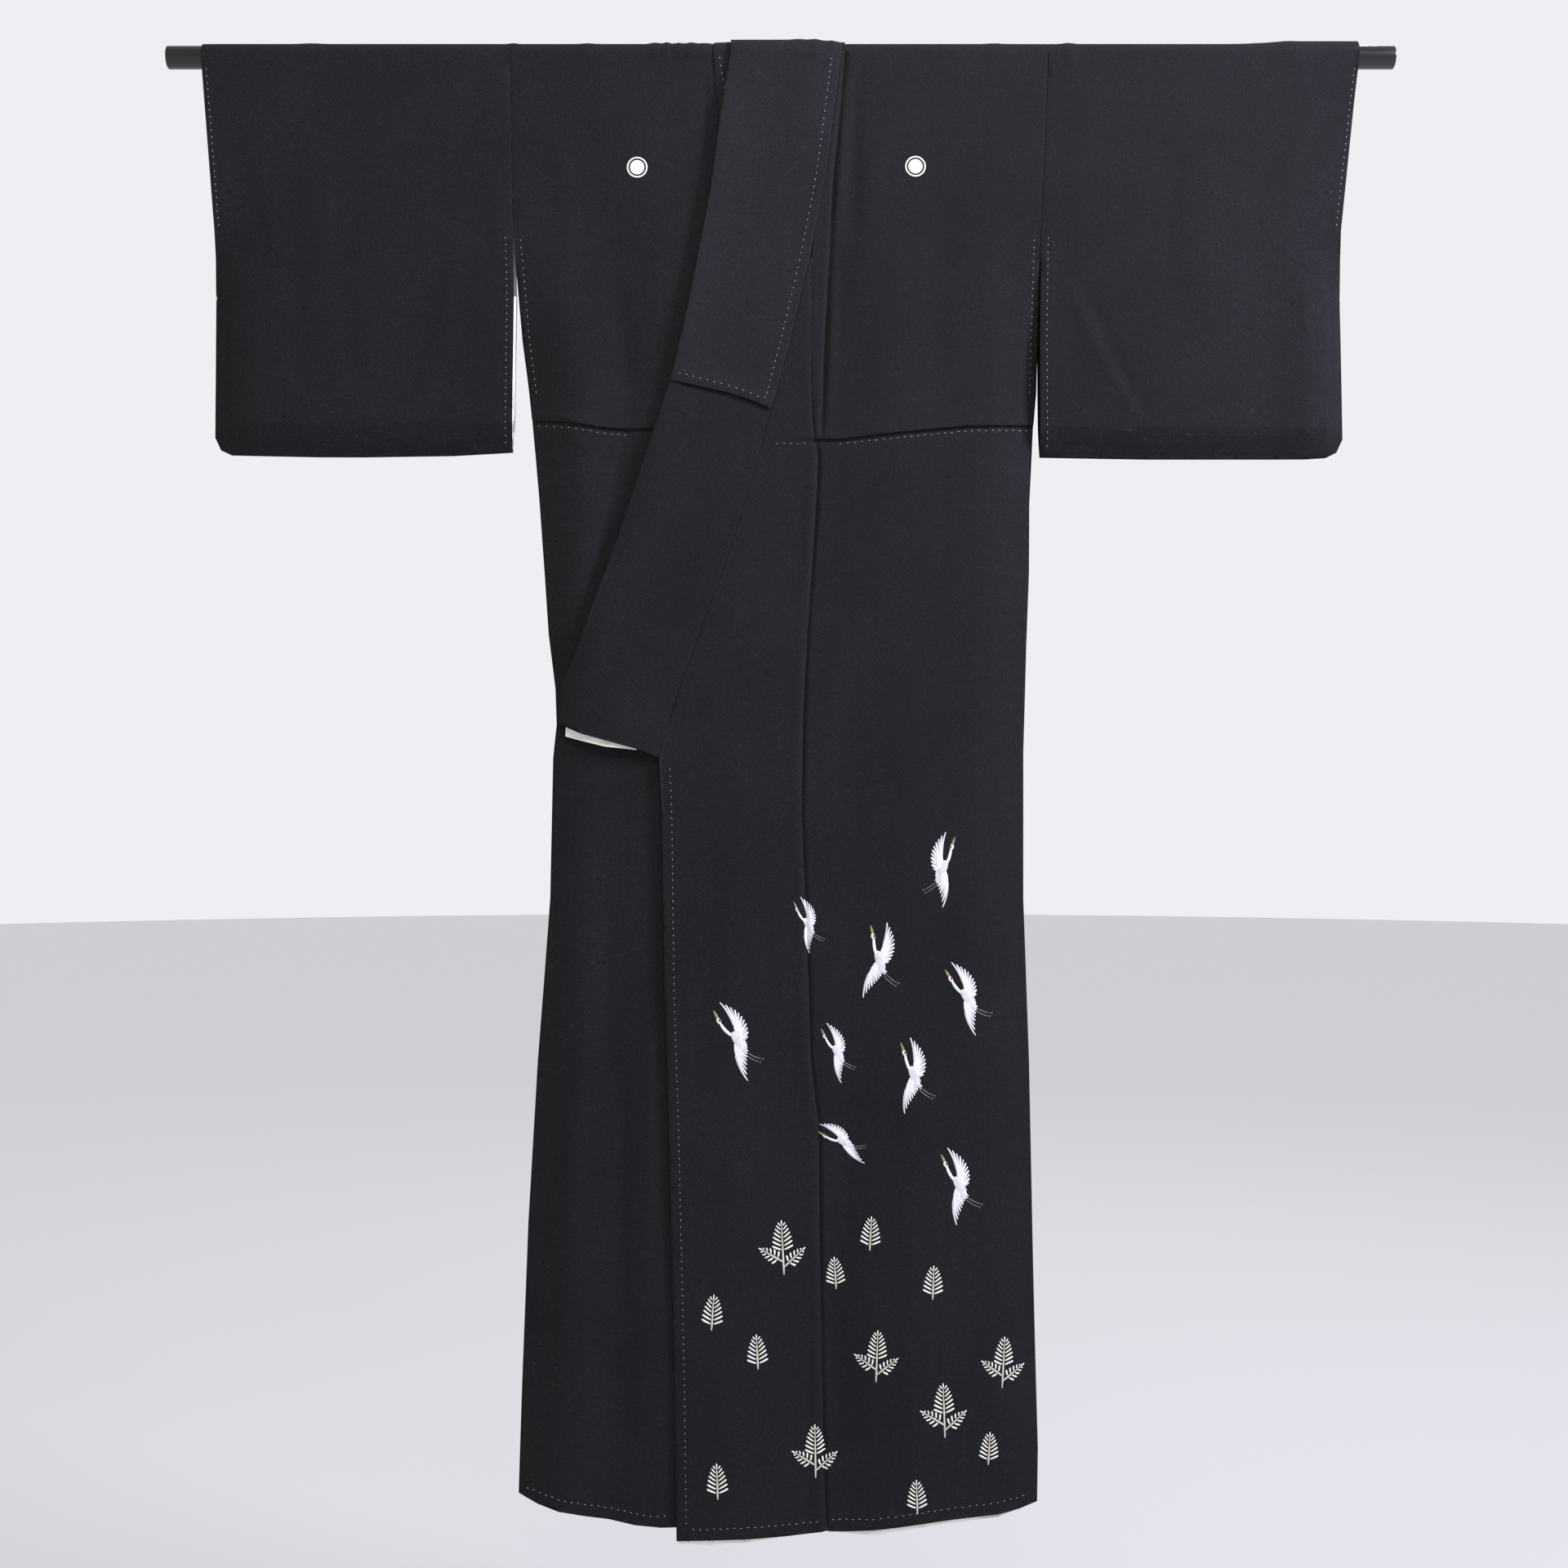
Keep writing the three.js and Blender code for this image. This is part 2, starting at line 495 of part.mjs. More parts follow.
// The overlap panel: pointed at its top, between the body panel and the collar, then a free front edge.
function overlapPanel(left) {
  const tuck = left ? UPPER_TUCK : UNDER_TUCK;
  const seam = (z) => across(OVERLAP_SEAM, z) - SEAM / 2;
  const front = (z) => across(LAPEL_EDGE, z) + SEAM / 2;
  return cloth({
    name: left ? 'okumi_left' : 'okumi_right',
    rows: [
      endRow(FRONT, left ? UPPER_HEM : UNDER_HEM),
      ...hangingRows(FRONT_HEIGHTS.filter((z) => z <= OVERLAP_TOP), FRONT, tuck),
    ],
    columns: STRIP_COLUMNS,
    edges: (angle, z) => (left ? [front(z), seam(z)] : [-seam(z), -front(z)]),
    depth: left ? upperDepth : underDepth,
    thickness: CLOTH,
    relief: tuckRelief(tuck, OVERLAP_TUCK_SHARE),
  });
}

// A front length of the collar, from its lower end up over the rod. What lies on it is moved out.
function frontCollar({ name, left, lowest, end, onTop, thickness }) {
  const lies = left ? upperDepth : underDepth;
  const ownEnd = left ? end : mirrored(end);
  const heights = FRONT_HEIGHTS.filter((z) => z > lowest);
  return cloth({
    name,
    rows: [
      endRow(FRONT, ownEnd),
      halfwayRow(ownEnd, heights[0]),
      ...hangingRows(heights, FRONT, left ? UPPER_TUCK : UNDER_TUCK),
      ...overRod([...ROD_ANGLES.filter((angle) => angle < SHOULDER), FRONT_COLLAR_END]),
    ],
    columns: left ? COLLAR_COLUMNS : fromSide(COLLAR_COLUMNS),
    edges: (angle, z) => (left
      ? [across(COLLAR_FREE_EDGE, z), across(LAPEL_EDGE, z) - SEAM / 2]
      : [underLapel(z) + SEAM / 2, underFree(z)]),
    depth: (x, z) => lies(x, z) + onTop,
    thickness,
  });
}

// The back length of the collar rises from the neckline and rolls over the rod to meet the fronts.
function backCollar(name, lies, thickness) {
  const halfWidth = (angle, z) => Math.max(
    BACK_COLLAR_FLAT,
    neckHalfWidth(downBack(angle, z) - COLLAR_OVER_NECK) + COLLAR_OVER_NECK,
  );
  const roll = (angle) => 1 - smooth((angle - BACK_COLLAR_START) / (BACK - BACK_COLLAR_START));
  const pastEdge = (x) => (x - across(COLLAR_FREE_EDGE, 0)) / BACK_COLLAR_STEP + 0.5;
  const onUpper = (x) => smooth(pastEdge(x)) * lapShare(x, 0);
  return cloth({
    name,
    rows: [
      ...overRod([BACK_COLLAR_START, ...ROD_ANGLES.filter((angle) => angle > SHOULDER)]),
      ...hangingRows(BACK_COLLAR_HEIGHTS, BACK, []),
    ],
    columns: BACK_COLLAR_COLUMNS,
    edges: (angle, z) => [-halfWidth(angle, z), halfWidth(angle, z)],
    depth: (x, z, angle) => lies + BACK_COLLAR_ROLL * roll(angle) * onUpper(x),
    thickness,
  });
}

// One length folded over the rod, its edges sewn to each other below the cuff and along the bottom.
function sleeve(left) {
  const hem = left ? LEFT_SLEEVE_HEM : RIGHT_SLEEVE_HEM;
  const folds = left ? LEFT_SLEEVE_FOLDS : RIGHT_SLEEVE_FOLDS;
  const aboveHem = (angle) => SLEEVE_HEM_ROWS.map((above) => ({
    angle,
    z: SLEEVE_BOTTOM + above,
    follow: (x) => ({ angle, z: sleeveHem(x, left, hem) + above }),
  }));
  return cloth({
    name: left ? 'sleeve_left' : 'sleeve_right',
    rows: [
      ...aboveHem(FRONT),
      ...hangingRows(SLEEVE_HEIGHTS, FRONT, []),
      ...overRod(ROD_ANGLES),
      ...hangingRows([...SLEEVE_HEIGHTS].reverse(), BACK, []),
      ...aboveHem(BACK).reverse(),
    ],
    columns: left ? SLEEVE_COLUMNS : fromSide(SLEEVE_COLUMNS),
    edges: (angle, z) => {
      const ends = [sleeveInnerEdge(left, z), sleeveOuterEdge(left, z)];
      return left ? ends : ends.reverse();
    },
    depth: (x, z) => sleeveDepth(x, z, left, hem, folds),
    thickness: CLOTH,
  });
}

// White under-layer, built only where it shows: a strip behind a panel that reaches a little past it.
function liningStrip({ name, rows, columns, edges, behind }) {
  return cloth({
    name,
    rows,
    columns,
    edges,
    depth: (x, z) => behind(x, z) - LINING_CLOTH - LINING_GAP,
    thickness: LINING_CLOTH,
    finish: WHITE_CLOTH,
  });
}

function linings() {
  const hem = RIGHT_SLEEVE_HEM;
  const openEdge = (z) => sleeveInnerEdge(false, z);
  const sleeveLiningRows = [
    ...SLEEVE_HEM_ROWS.slice(1).map((above) => ({
      angle: FRONT,
      z: SLEEVE_BOTTOM + above,
      follow: (x) => ({ angle: FRONT, z: sleeveHem(x, false, hem) + above }),
    })),
    ...hangingRows(SLEEVE_HEIGHTS.filter((z) => z < SLEEVE_LINING_TOP), FRONT, []),
  ];
  return [
    liningStrip({
      name: 'hem_lining_overlap',
      edges: (angle, z) => [across(LAPEL_EDGE, z) + LINING_INSET, across(OVERLAP_SEAM, z) - SEAM],
      columns: STRIP_COLUMNS,
      rows: [endRow(FRONT, OVERLAP_LINING_HEM), ...hangingRows(HEM_LINING_HEIGHTS, FRONT, [])],
      behind: upperDepth,
    }),
    liningStrip({
      name: 'hem_lining_body',
      edges: (angle, z) => [across(OVERLAP_SEAM, z) + SEAM / 2, across(LEFT_SIDE_EDGE, z)],
      columns: BODY_COLUMNS.slice(0, -1),
      rows: [endRow(FRONT, BODY_LINING_HEM), ...hangingRows(HEM_LINING_HEIGHTS, FRONT, [])],
      behind: upperDepth,
    }),
    liningStrip({
      name: 'collar_end_lining',
      edges: (angle, z) => [across(COLLAR_FREE_EDGE, z), across(LAPEL_EDGE, z) - SEAM / 2],
      columns: [COLLAR_LINING_START, ...COLLAR_COLUMNS.slice(1, -2)],
      rows: [
        endRow(FRONT, COLLAR_LINING_HEM),
        halfwayRow(COLLAR_END, COLLAR_LINING_TOP),
        { angle: FRONT, z: COLLAR_LINING_TOP },
      ],
      behind: upperDepth,
    }),
    liningStrip({
      name: 'sleeve_lining_right',
      edges: (angle, z) => [openEdge(z) - SLEEVE_LINING_WIDTH, openEdge(z) + SLEEVE_LINING_SHOWS],
      columns: [0, 1],
      rows: sleeveLiningRows,
      behind: (x, z) => sleeveDepth(x, z, false, hem, RIGHT_SLEEVE_FOLDS),
    }),
  ];
}

const kimono = new THREE.Group();
kimono.add(rod());
for (const left of [false, true]) {
  const side = left ? 'left' : 'right';
  kimono.add(...['upper', 'lower_front', 'lower_back'].map((part) => bodyPart(left, part)));
  kimono.add(overlapPanel(left), sleeve(left));
  kimono.add(frontCollar({
    name: `collar_${side}`,
    left,
    lowest: COLLAR_LOWEST,
    end: COLLAR_END,
    onTop: 0,
    thickness: COLLAR_CLOTH,
  }));
  kimono.add(frontCollar({
    name: `over_collar_${side}`,
    left,
    lowest: OVER_COLLAR_LOWEST,
    end: OVER_COLLAR_END,
    onTop: COLLAR_CLOTH + SEAM,
    thickness: OVER_COLLAR_CLOTH,
  }));
}
const backCollarLies = HALF_HOLLOW + CLOTH + SEAM;
kimono.add(backCollar('collar_back', backCollarLies, COLLAR_CLOTH));
kimono.add(backCollar('over_collar_back', backCollarLies + COLLAR_CLOTH + SEAM, OVER_COLLAR_CLOTH));
kimono.add(...linings());

export default kimono;
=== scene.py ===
"""Looks of a kurotomesode: a formal black silk kimono that hangs flat on a round black rod.

The script follows the garment as it is put together: rod, cloth, collar, white under-layer, crests,
dyed and embroidered motifs, tacking stitches, then floor, lights and camera. Tables are in
millimetres, with +X towards the wearer's left sleeve, -Y out of the front and +Z up.
"""
import math
from bisect import bisect_right
from collections import Counter

import bmesh
import bpy
import numpy as np
from mathutils import Matrix, Vector
from mathutils.bvhtree import BVHTree


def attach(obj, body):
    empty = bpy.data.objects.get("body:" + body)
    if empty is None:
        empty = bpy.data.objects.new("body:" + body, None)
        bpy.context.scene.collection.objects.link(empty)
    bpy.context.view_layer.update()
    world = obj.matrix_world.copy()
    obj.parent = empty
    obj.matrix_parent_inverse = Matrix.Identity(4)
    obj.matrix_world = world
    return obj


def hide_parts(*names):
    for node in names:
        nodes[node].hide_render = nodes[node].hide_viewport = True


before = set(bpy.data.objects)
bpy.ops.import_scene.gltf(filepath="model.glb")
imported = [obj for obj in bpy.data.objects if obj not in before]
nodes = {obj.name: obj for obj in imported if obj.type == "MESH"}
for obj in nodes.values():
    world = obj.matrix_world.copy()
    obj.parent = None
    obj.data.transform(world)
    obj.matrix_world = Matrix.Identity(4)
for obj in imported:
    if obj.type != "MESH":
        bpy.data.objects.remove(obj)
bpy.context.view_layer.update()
MM = 0.001

# ---- Rod: a steel tube with a gloss black stoved enamel. It is one plain tube here, with eased ends
# that are closed a little way in, and no fittings.
ROD_RADIUS = 12.5
ROD_LENGTH = 1360
ROD_END_EASE = 1.2
ROD_WALL = 2.0
ROD_END_DEPTH = 0.5
ROD_SHARP = 50  # degrees; edges that turn more than this stay sharp


def linear(code):
    """An sRGB hex colour as the linear colour that a shader takes."""
    parts = [int(code[i : i + 2], 16) / 255 for i in (1, 3, 5)]
    return [*(c / 12.92 if c <= 0.04045 else ((c + 0.055) / 1.055) ** 2.4 for c in parts), 1.0]


def add_node(material, kind, inputs=None, **settings):
    """Adds a shader node with its settings, and with values or links at its inputs."""
    node = material.node_tree.nodes.new(kind)
    for name, value in settings.items():
        setattr(node, name, value)
    for name, value in (inputs or {}).items():
        if isinstance(value, bpy.types.NodeSocket):
            material.node_tree.links.new(value, node.inputs[name])
        else:
            node.inputs[name].default_value = value
    return node


def bare_material(name):
    """A new material with only its output node, and that output."""
    material = bpy.data.materials.new(name)
    material.use_nodes = True
    material.node_tree.nodes.clear()
    return material, material.node_tree.nodes.new("ShaderNodeOutputMaterial")


def finished(material, output, shader):
    material.node_tree.links.new(shader.outputs["BSDF"], output.inputs["Surface"])
    return material


def shown(name, form, *materials):
    """Makes a bmesh into an object whose place is in its mesh, with smooth faces."""
    mesh = bpy.data.meshes.new(name)
    form.to_mesh(mesh)
    form.free()
    for material in materials:
        mesh.materials.append(material)
    mesh.shade_smooth()
    piece = bpy.data.objects.new(name, mesh)
    bpy.context.collection.objects.link(piece)
    return piece


def enamel():
    """Stoved black enamel on steel: a hard gloss with a faint orange peel, dulled in patches by dust."""
    material, output = bare_material("stoved_black_enamel")
    place = add_node(material, "ShaderNodeTexCoord").outputs["Object"]
    peel = add_node(material, "ShaderNodeTexNoise", {"Vector": place, "Scale": 420, "Detail": 2})
    dust = add_node(material, "ShaderNodeTexNoise", {"Vector": place, "Scale": 22, "Detail": 6})
    dull = add_node(material, "ShaderNodeMapRange", {
        "Value": dust.outputs["Fac"], "To Min": 0.16, "To Max": 0.34,
    })
    bump = add_node(material, "ShaderNodeBump", {
        "Height": peel.outputs["Fac"], "Strength": 0.08, "Distance": 0.0004,
    })
    return finished(material, output, add_node(material, "ShaderNodeBsdfPrincipled", {
        "Base Color": linear("#101012"), "Roughness": dull.outputs["Result"],
        "Normal": bump.outputs["Normal"], "Coat Weight": 0.4, "Coat Roughness": 0.12,
    }))


tube = bmesh.new()
bmesh.ops.create_cone(
    tube, cap_ends=True, segments=96, radius1=ROD_RADIUS, radius2=ROD_RADIUS, depth=ROD_LENGTH
)
ends = [edge for edge in tube.edges if abs(edge.verts[0].co.z - edge.verts[1].co.z) < 1]
bmesh.ops.bevel(tube, geom=ends, offset=ROD_END_EASE, segments=3, profile=0.5, affect="EDGES", material=-1)
for end in [face for face in tube.faces if len(face.verts) > 4]:
    bmesh.ops.inset_individual(tube, faces=[end], thickness=ROD_WALL, depth=-ROD_END_DEPTH)
bmesh.ops.rotate(tube, verts=tube.verts, cent=(0, 0, 0), matrix=Matrix.Rotation(math.pi / 2, 3, "Y"))
bmesh.ops.scale(tube, verts=tube.verts, vec=(MM, MM, MM))
rod = shown("rod_tube", tube, enamel())
rod.modifiers.new("edges", "EDGE_SPLIT").split_angle = math.radians(ROD_SHARP)
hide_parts("rod")
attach(rod, "root")

# ---- Cloth: black silk crepe lined with white silk. Each piece is a copy of its solid: edges rounded as a
# pressed fold is, divided finely, its facets smoothed out, creased in its own millimetres, then
# thinned where it lies flat. Pieces that meet at a seam take the same creases, so the seam stays closed.
WELD = 0.02
SHARP_TURN = 0.9  # radians between two faces, past which their edge is rounded
EDGE_ROUND = 0.35
CELL = 6.5
CELL_PASSES = 6
FINE_CELL = 2.4  # beside a groove, a tuck or the over-collar's end
FINE_REACH = 7.0
FINE_PASSES = 2
ROD_STEP = 22.5  # degrees between the solid's rows over the rod
BROAD = 0.72  # faces that look this squarely out or in are smoothed, and the narrow edges aren't
SMOOTH_PASSES = 36
SMOOTH_SHARE = 0.55  # how far a pass moves a point towards its neighbours
CREASES_END = 6  # creases die away between the rod's axis and this height
SEAM_REACH = 2.0  # the overlap's seam is closed by moving the cloth this near to it
SEAM_PULL = 0.13
SIDE_DRAWN_IN = [(-777, 0), (-740, 5.2), (-700, 5.2), (-640, 0)]  # height, and how far the back goes in
SIDE_FADE = (-180, -252)  # places across between which that grows to its full measure
INWARD = -0.6  # faces that look more squarely in than this are lining
HEM_FACING_TOP = -1240  # inside, black facing reaches from the hem up to here, and white lining is above
SLIT_FACING = (287, 34)  # black facing by the left slit: its middle, and how far it reaches to each side
KEPT_SHARE = 0.44  # of the faces, after the flat stretches between creases are thinned out

# the sharp lines: tucks and the over-collar's end as (place across, height), the rest as (height, place
# across)
UPPER_TUCK = [(-150, -424), (62, -426), (133, -418.5), (207, -411), (284, -409)]
UNDER_TUCK = [(-280, -402), (-238, -406), (-190, -414), (150, -415)]
BACK_TUCK = [(-280, -402), (-190, -414), (0, -415), (62, -426), (133, -418.5), (284, -409)]
OVERLAP_SEAM = [
    (-1630, 50.4), (-1543, 47.7), (-1382, 44.5), (-1184, 42.3), (-1112, 33.5), (-1030, 31.5), (-932, 27.5),
    (-840, 23.4), (-740, 25), (-640, 29.5), (-572, 34.5), (-500, 39.5), (-446, 42), (-404, 35), (-345, 33.5),
    (-268, 33.5), (-215, 34.3),
]
PRESSED_IN = [(-440, 44.5), (-420, 45), (-251, 52.2), (-141, 58.5), (-12, 70), (6, 71)]
OVER_COLLAR_END = [(-118.8, -355.5), (-64, -369), (-9, -389.7)]


def along(line, value):
    """The second measure of a line of pairs, where the first one has this value."""
    return np.interp(value, *zip(*line))


def rows_of(items, attribute, across=3, kind=np.int32):
    """One attribute of all of a mesh's points, edges or faces, with a row for each."""
    values = np.zeros(len(items) * across, kind)
    items.foreach_get(attribute, values)
    return values.reshape(-1, across)


def faced(points, faces):
    """Each face's middle and how squarely it faces away from (1) or towards (-1) the rod's axis."""
    corner = points[faces]
    normal = np.cross(corner[:, 1] - corner[:, 0], corner[:, 2] - corner[:, 0])
    normal /= np.maximum(np.linalg.norm(normal, axis=1, keepdims=True), 1e-12)
    middle = corner.mean(axis=1)
    out = np.stack([np.zeros(len(middle)), middle[:, 1], np.maximum(middle[:, 2], 0)], axis=1)
    out /= np.maximum(np.linalg.norm(out, axis=1, keepdims=True), 1e-12)
    return middle, (normal * out).sum(axis=1)


def by_sharp_lines(edges):
    """Which of these edges lie in front beside a pressed or sewn line, and are too long to follow it."""
    ends = np.array([[*edge.verts[0].co, *edge.verts[1].co] for edge in edges])
    x, y, z = ((ends[:, :3] + ends[:, 3:]) / 2).T
    length = np.linalg.norm(ends[:, :3] - ends[:, 3:], axis=1)
    near = np.full(len(edges), np.inf)
    for line in (OVERLAP_SEAM, PRESSED_IN):
        beside = (z > line[0][0] - FINE_REACH) & (z < line[-1][0] + FINE_REACH)
        near = np.where(beside, np.minimum(near, np.abs(x - along(line, z))), near)
    for line in (UPPER_TUCK, UNDER_TUCK, OVER_COLLAR_END):
        near = np.minimum(near, np.abs(z - along(line, x)))
    chosen = (near < FINE_REACH) & (y < 0) & (length > FINE_CELL)
    return [edge for edge, taken in zip(edges, chosen) if taken]


def cloth_form(node):
    """The solid's mesh, merged, with round edges and divided until no edge is longer than a cell."""
    form = bmesh.new()
    form.from_mesh(nodes[node].data)
    bmesh.ops.scale(form, verts=form.verts, vec=(1 / MM, 1 / MM, 1 / MM))
    bmesh.ops.remove_doubles(form, verts=form.verts, dist=WELD)
    shared = [edge for edge in form.edges if len(edge.link_faces) == 2]
    turned = [edge for edge in shared if edge.calc_face_angle() > SHARP_TURN]
    bmesh.ops.bevel(
        form, geom=turned, offset=EDGE_ROUND, segments=2, profile=0.5, affect="EDGES", material=-1,
        clamp_overlap=True,
    )
    bmesh.ops.triangulate(form, faces=form.faces)
    for passes in range(CELL_PASSES + FINE_PASSES):
        if passes < CELL_PASSES:
            long_edges = [edge for edge in form.edges if edge.calc_length() > CELL]
        else:
            long_edges = by_sharp_lines(list(form.edges))
        bmesh.ops.subdivide_edges(form, edges=long_edges, cuts=1, use_grid_fill=True)
        bmesh.ops.triangulate(form, faces=[face for face in form.faces if len(face.verts) > 3])
    return form


def cloth(node, creases, materials):
    """The finished cloth of a node. creases gives how far it rises at places x, z in front or behind."""
    name = node + "_cloth"
    form = cloth_form(node)
    mesh = bpy.data.meshes.new(name)
    form.to_mesh(mesh)
    form.free()
    points = rows_of(mesh.vertices, "co", kind=np.float32).astype(float)
    faces = rows_of(mesh.polygons, "vertices")
    pairs = rows_of(mesh.edges, "vertices", across=2)
    count = len(points)

    # the cloth's depth from the rod's axis, and its angle over the rod
    over = points[:, 2] > 0
    turn = np.where(over, np.arctan2(points[:, 2], -points[:, 1]), np.where(points[:, 1] > 0, math.pi, 0.0))
    depth = np.where(over, np.hypot(points[:, 1], points[:, 2]), np.abs(points[:, 1]))
    step = math.radians(ROD_STEP)
    in_step = np.mod(turn, step) - step / 2
    depth = np.where(over, depth * np.cos(in_step) / math.cos(step / 2), depth)

    # smooth the facets, but leave the rounded edges
    _, square = faced(points, faces)
    free = np.ones(count, bool)
    free[faces[np.abs(square) < BROAD].ravel()] = False
    joined = np.bincount(pairs.ravel(), minlength=count)
    for _ in range(SMOOTH_PASSES):
        around = np.bincount(pairs[:, 0], depth[pairs[:, 1]], count)
        around = around + np.bincount(pairs[:, 1], depth[pairs[:, 0]], count)
        smoothed = (1 - SMOOTH_SHARE) * depth + SMOOTH_SHARE * around / np.maximum(joined, 1)
        depth = np.where(free, smoothed, depth)

    behind = turn > math.pi / 2
    held = 1 - np.clip(points[:, 2] / CREASES_END, 0, 1)
    depth = depth + creases(points[:, 0], points[:, 2], behind) * held
    depth = depth + gathered(points[:, 0]) * fade(points[:, 2], *GATHER_FADE)
    past = along(OVERLAP_SEAM, points[:, 2]) - points[:, 0]
    beside = (np.abs(past) < SEAM_REACH) & ~behind & (points[:, 2] < OVERLAP_SEAM[-1][0])
    points[:, 0] += np.where(beside, np.clip(past, -SEAM_PULL, SEAM_PULL), 0)
    drawn = along(SIDE_DRAWN_IN, points[:, 2]) * fade(points[:, 0], *SIDE_FADE)
    points[:, 0] += np.where(behind, drawn, 0)
    points[:, 1] = -depth * np.cos(turn)
    points[:, 2] = np.where(over, depth * np.sin(turn), points[:, 2])

    # outside is black crepe; inside is the lining, with a facing near the hem
    middle, square = faced(points, faces)
    clear = (middle[:, 2] > HEM_FACING_TOP) & (np.abs(middle[:, 0] - SLIT_FACING[0]) > SLIT_FACING[1])
    inside = (square < INWARD) & clear
    mesh.polygons.foreach_set("material_index", inside.astype(np.int32) * (len(materials) > 1))
    mesh.vertices.foreach_set("co", (points * MM).astype(np.float32).ravel())
    mesh.update()
    for material in materials:
        mesh.materials.append(material)
    mesh.shade_smooth()
    piece = bpy.data.objects.new(name, mesh)
    bpy.context.collection.objects.link(piece)
    thinned = piece.modifiers.new("thinned", "DECIMATE")
    thinned.ratio = KEPT_SHARE
    thin_mesh = bpy.data.meshes.new_from_object(piece.evaluated_get(bpy.context.evaluated_depsgraph_get()))
    piece.modifiers.remove(thinned)
    piece.data = thin_mesh
    bpy.data.meshes.remove(mesh)
    thin_mesh.name = name
    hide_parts(node)
    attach(piece, "root")
    return piece


def fade(value, start, full):
    """0 at start, 1 at full and beyond, smoothly between."""
    share = np.clip((value - start) / (full - start), 0, 1)
    return share * share * (3 - 2 * share)


def down_crease(x, z, crease):
    """A crease that runs down the cloth, along its own line of heights and places across."""
    heights, places = zip(*sorted(crease["line"]))
    middle = np.interp(z, heights, places)
    wander = crease["width"] * 0.25 * np.sin(z / 37.0 + places[0])
    length = max(8.0, 0.2 * (heights[-1] - heights[0]))
    ends = fade(z, heights[0], heights[0] + length) * fade(z, heights[-1], heights[-1] - length)
    uneven = 0.78 + 0.22 * np.sin(z / 61.0 + places[-1] / 9.0)
    return crease["rise"] * uneven * ends * np.exp(-(((x - middle - wander) / crease["width"]) ** 2))


def cross_crease(x, z, crease):
    """A crease that runs across the cloth, along its own line of places across and heights."""
    places, heights = zip(*sorted(crease["line"]))
    middle = np.interp(x, places, heights)
    length = max(4.0, 0.3 * (places[-1] - places[0]))
    ends = fade(x, places[0], places[0] + length) * fade(x, places[-1], places[-1] - length)
    return crease["rise"] * ends * np.exp(-(((z - middle) / crease["width"]) ** 2))


def slack(x, z, seed):
    """The soft unevenness of silk that hangs: a few long, crossing waves."""
    return (
        0.34 * np.sin(x / 31.0 + z / 173.0 + seed)
        + 0.30 * np.sin(x / 52.0 - z / 117.0 + 2.3 * seed)
        + 0.24 * np.sin(z / 71.0 + x / 143.0 + 1.7 * seed)
        + 0.16 * np.sin(x / 17.0 + z / 59.0 + 0.6 * seed)
    )


GATHERS = [  # small puckers along the rod: place across, width, rise
    (-139, 6, 1.5), (-126, 4, 2.0), (-113, 5, 1.3), (-99, 6, 1.7), (-84, 7, 1.1), (20, 8, 0.8), (38, 6, 1.2),
    (57, 5, 0.9), (318, 6, 1.3), (-296, 5, 0.9), (236, 9, 0.7), (-214, 8, 0.7), (560, 10, 0.8),
    (-520, 12, 0.7),
]
GATHER_FADE = (-16, 8)  # heights between which they grow to their full rise


def gathered(x):
    return sum(rise * np.exp(-(((x - place) / width) ** 2)) for place, width, rise in GATHERS)


def tuck_lip(x, z, tuck):
    """The waist tuck: its fold stands out sharply over a shallow groove, and dies away upwards."""
    above = z - along(tuck, x)
    fold = fade(above, -0.8, 0.6) * np.exp(-np.clip(above, 0, None) / 16.0)
    return 1.1 * fold - 1.2 * np.exp(-(((above + 2.6) / 2.3) ** 2))


def table(columns, rows):
    """Rows of values, each as a dict under the columns' names. A short row leaves its last columns out."""
    return [dict(zip(columns.split(), row)) for row in rows]


# rise is out of the cloth; creases have lines of (height, place across)
UPPER_CREASES = table("line width rise", [
    ([(0, 86), (-90, 82), (-215, 76)], 9, -1.1),
    ([(-20, 102), (-190, 94), (-300, 88)], 14, 0.8),
    ([(-500, 60), (-900, 52), (-1500, 64)], 16, 0.9),
    ([(-1240, 56), (-1400, 60), (-1590, 62)], 9, -1.2),
    ([(-1100, 118), (-1350, 126), (-1600, 120)], 13, -0.9),
    ([(-640, 214), (-1000, 205), (-1500, 221)], 22, 0.9),
    ([(-120, 168), (-260, 176), (-400, 170)], 20, -0.8),
    ([(-60, 232), (-220, 226), (-400, 236)], 16, 0.8),
    ([(-830, 4), (-1100, -12), (-1500, -6)], 18, -0.8),
    ([(-900, -62), (-1250, -58), (-1560, -66)], 15, 0.8),
    ([(-470, -4), (-620, -40), (-720, -74)], 12, -0.7),
])
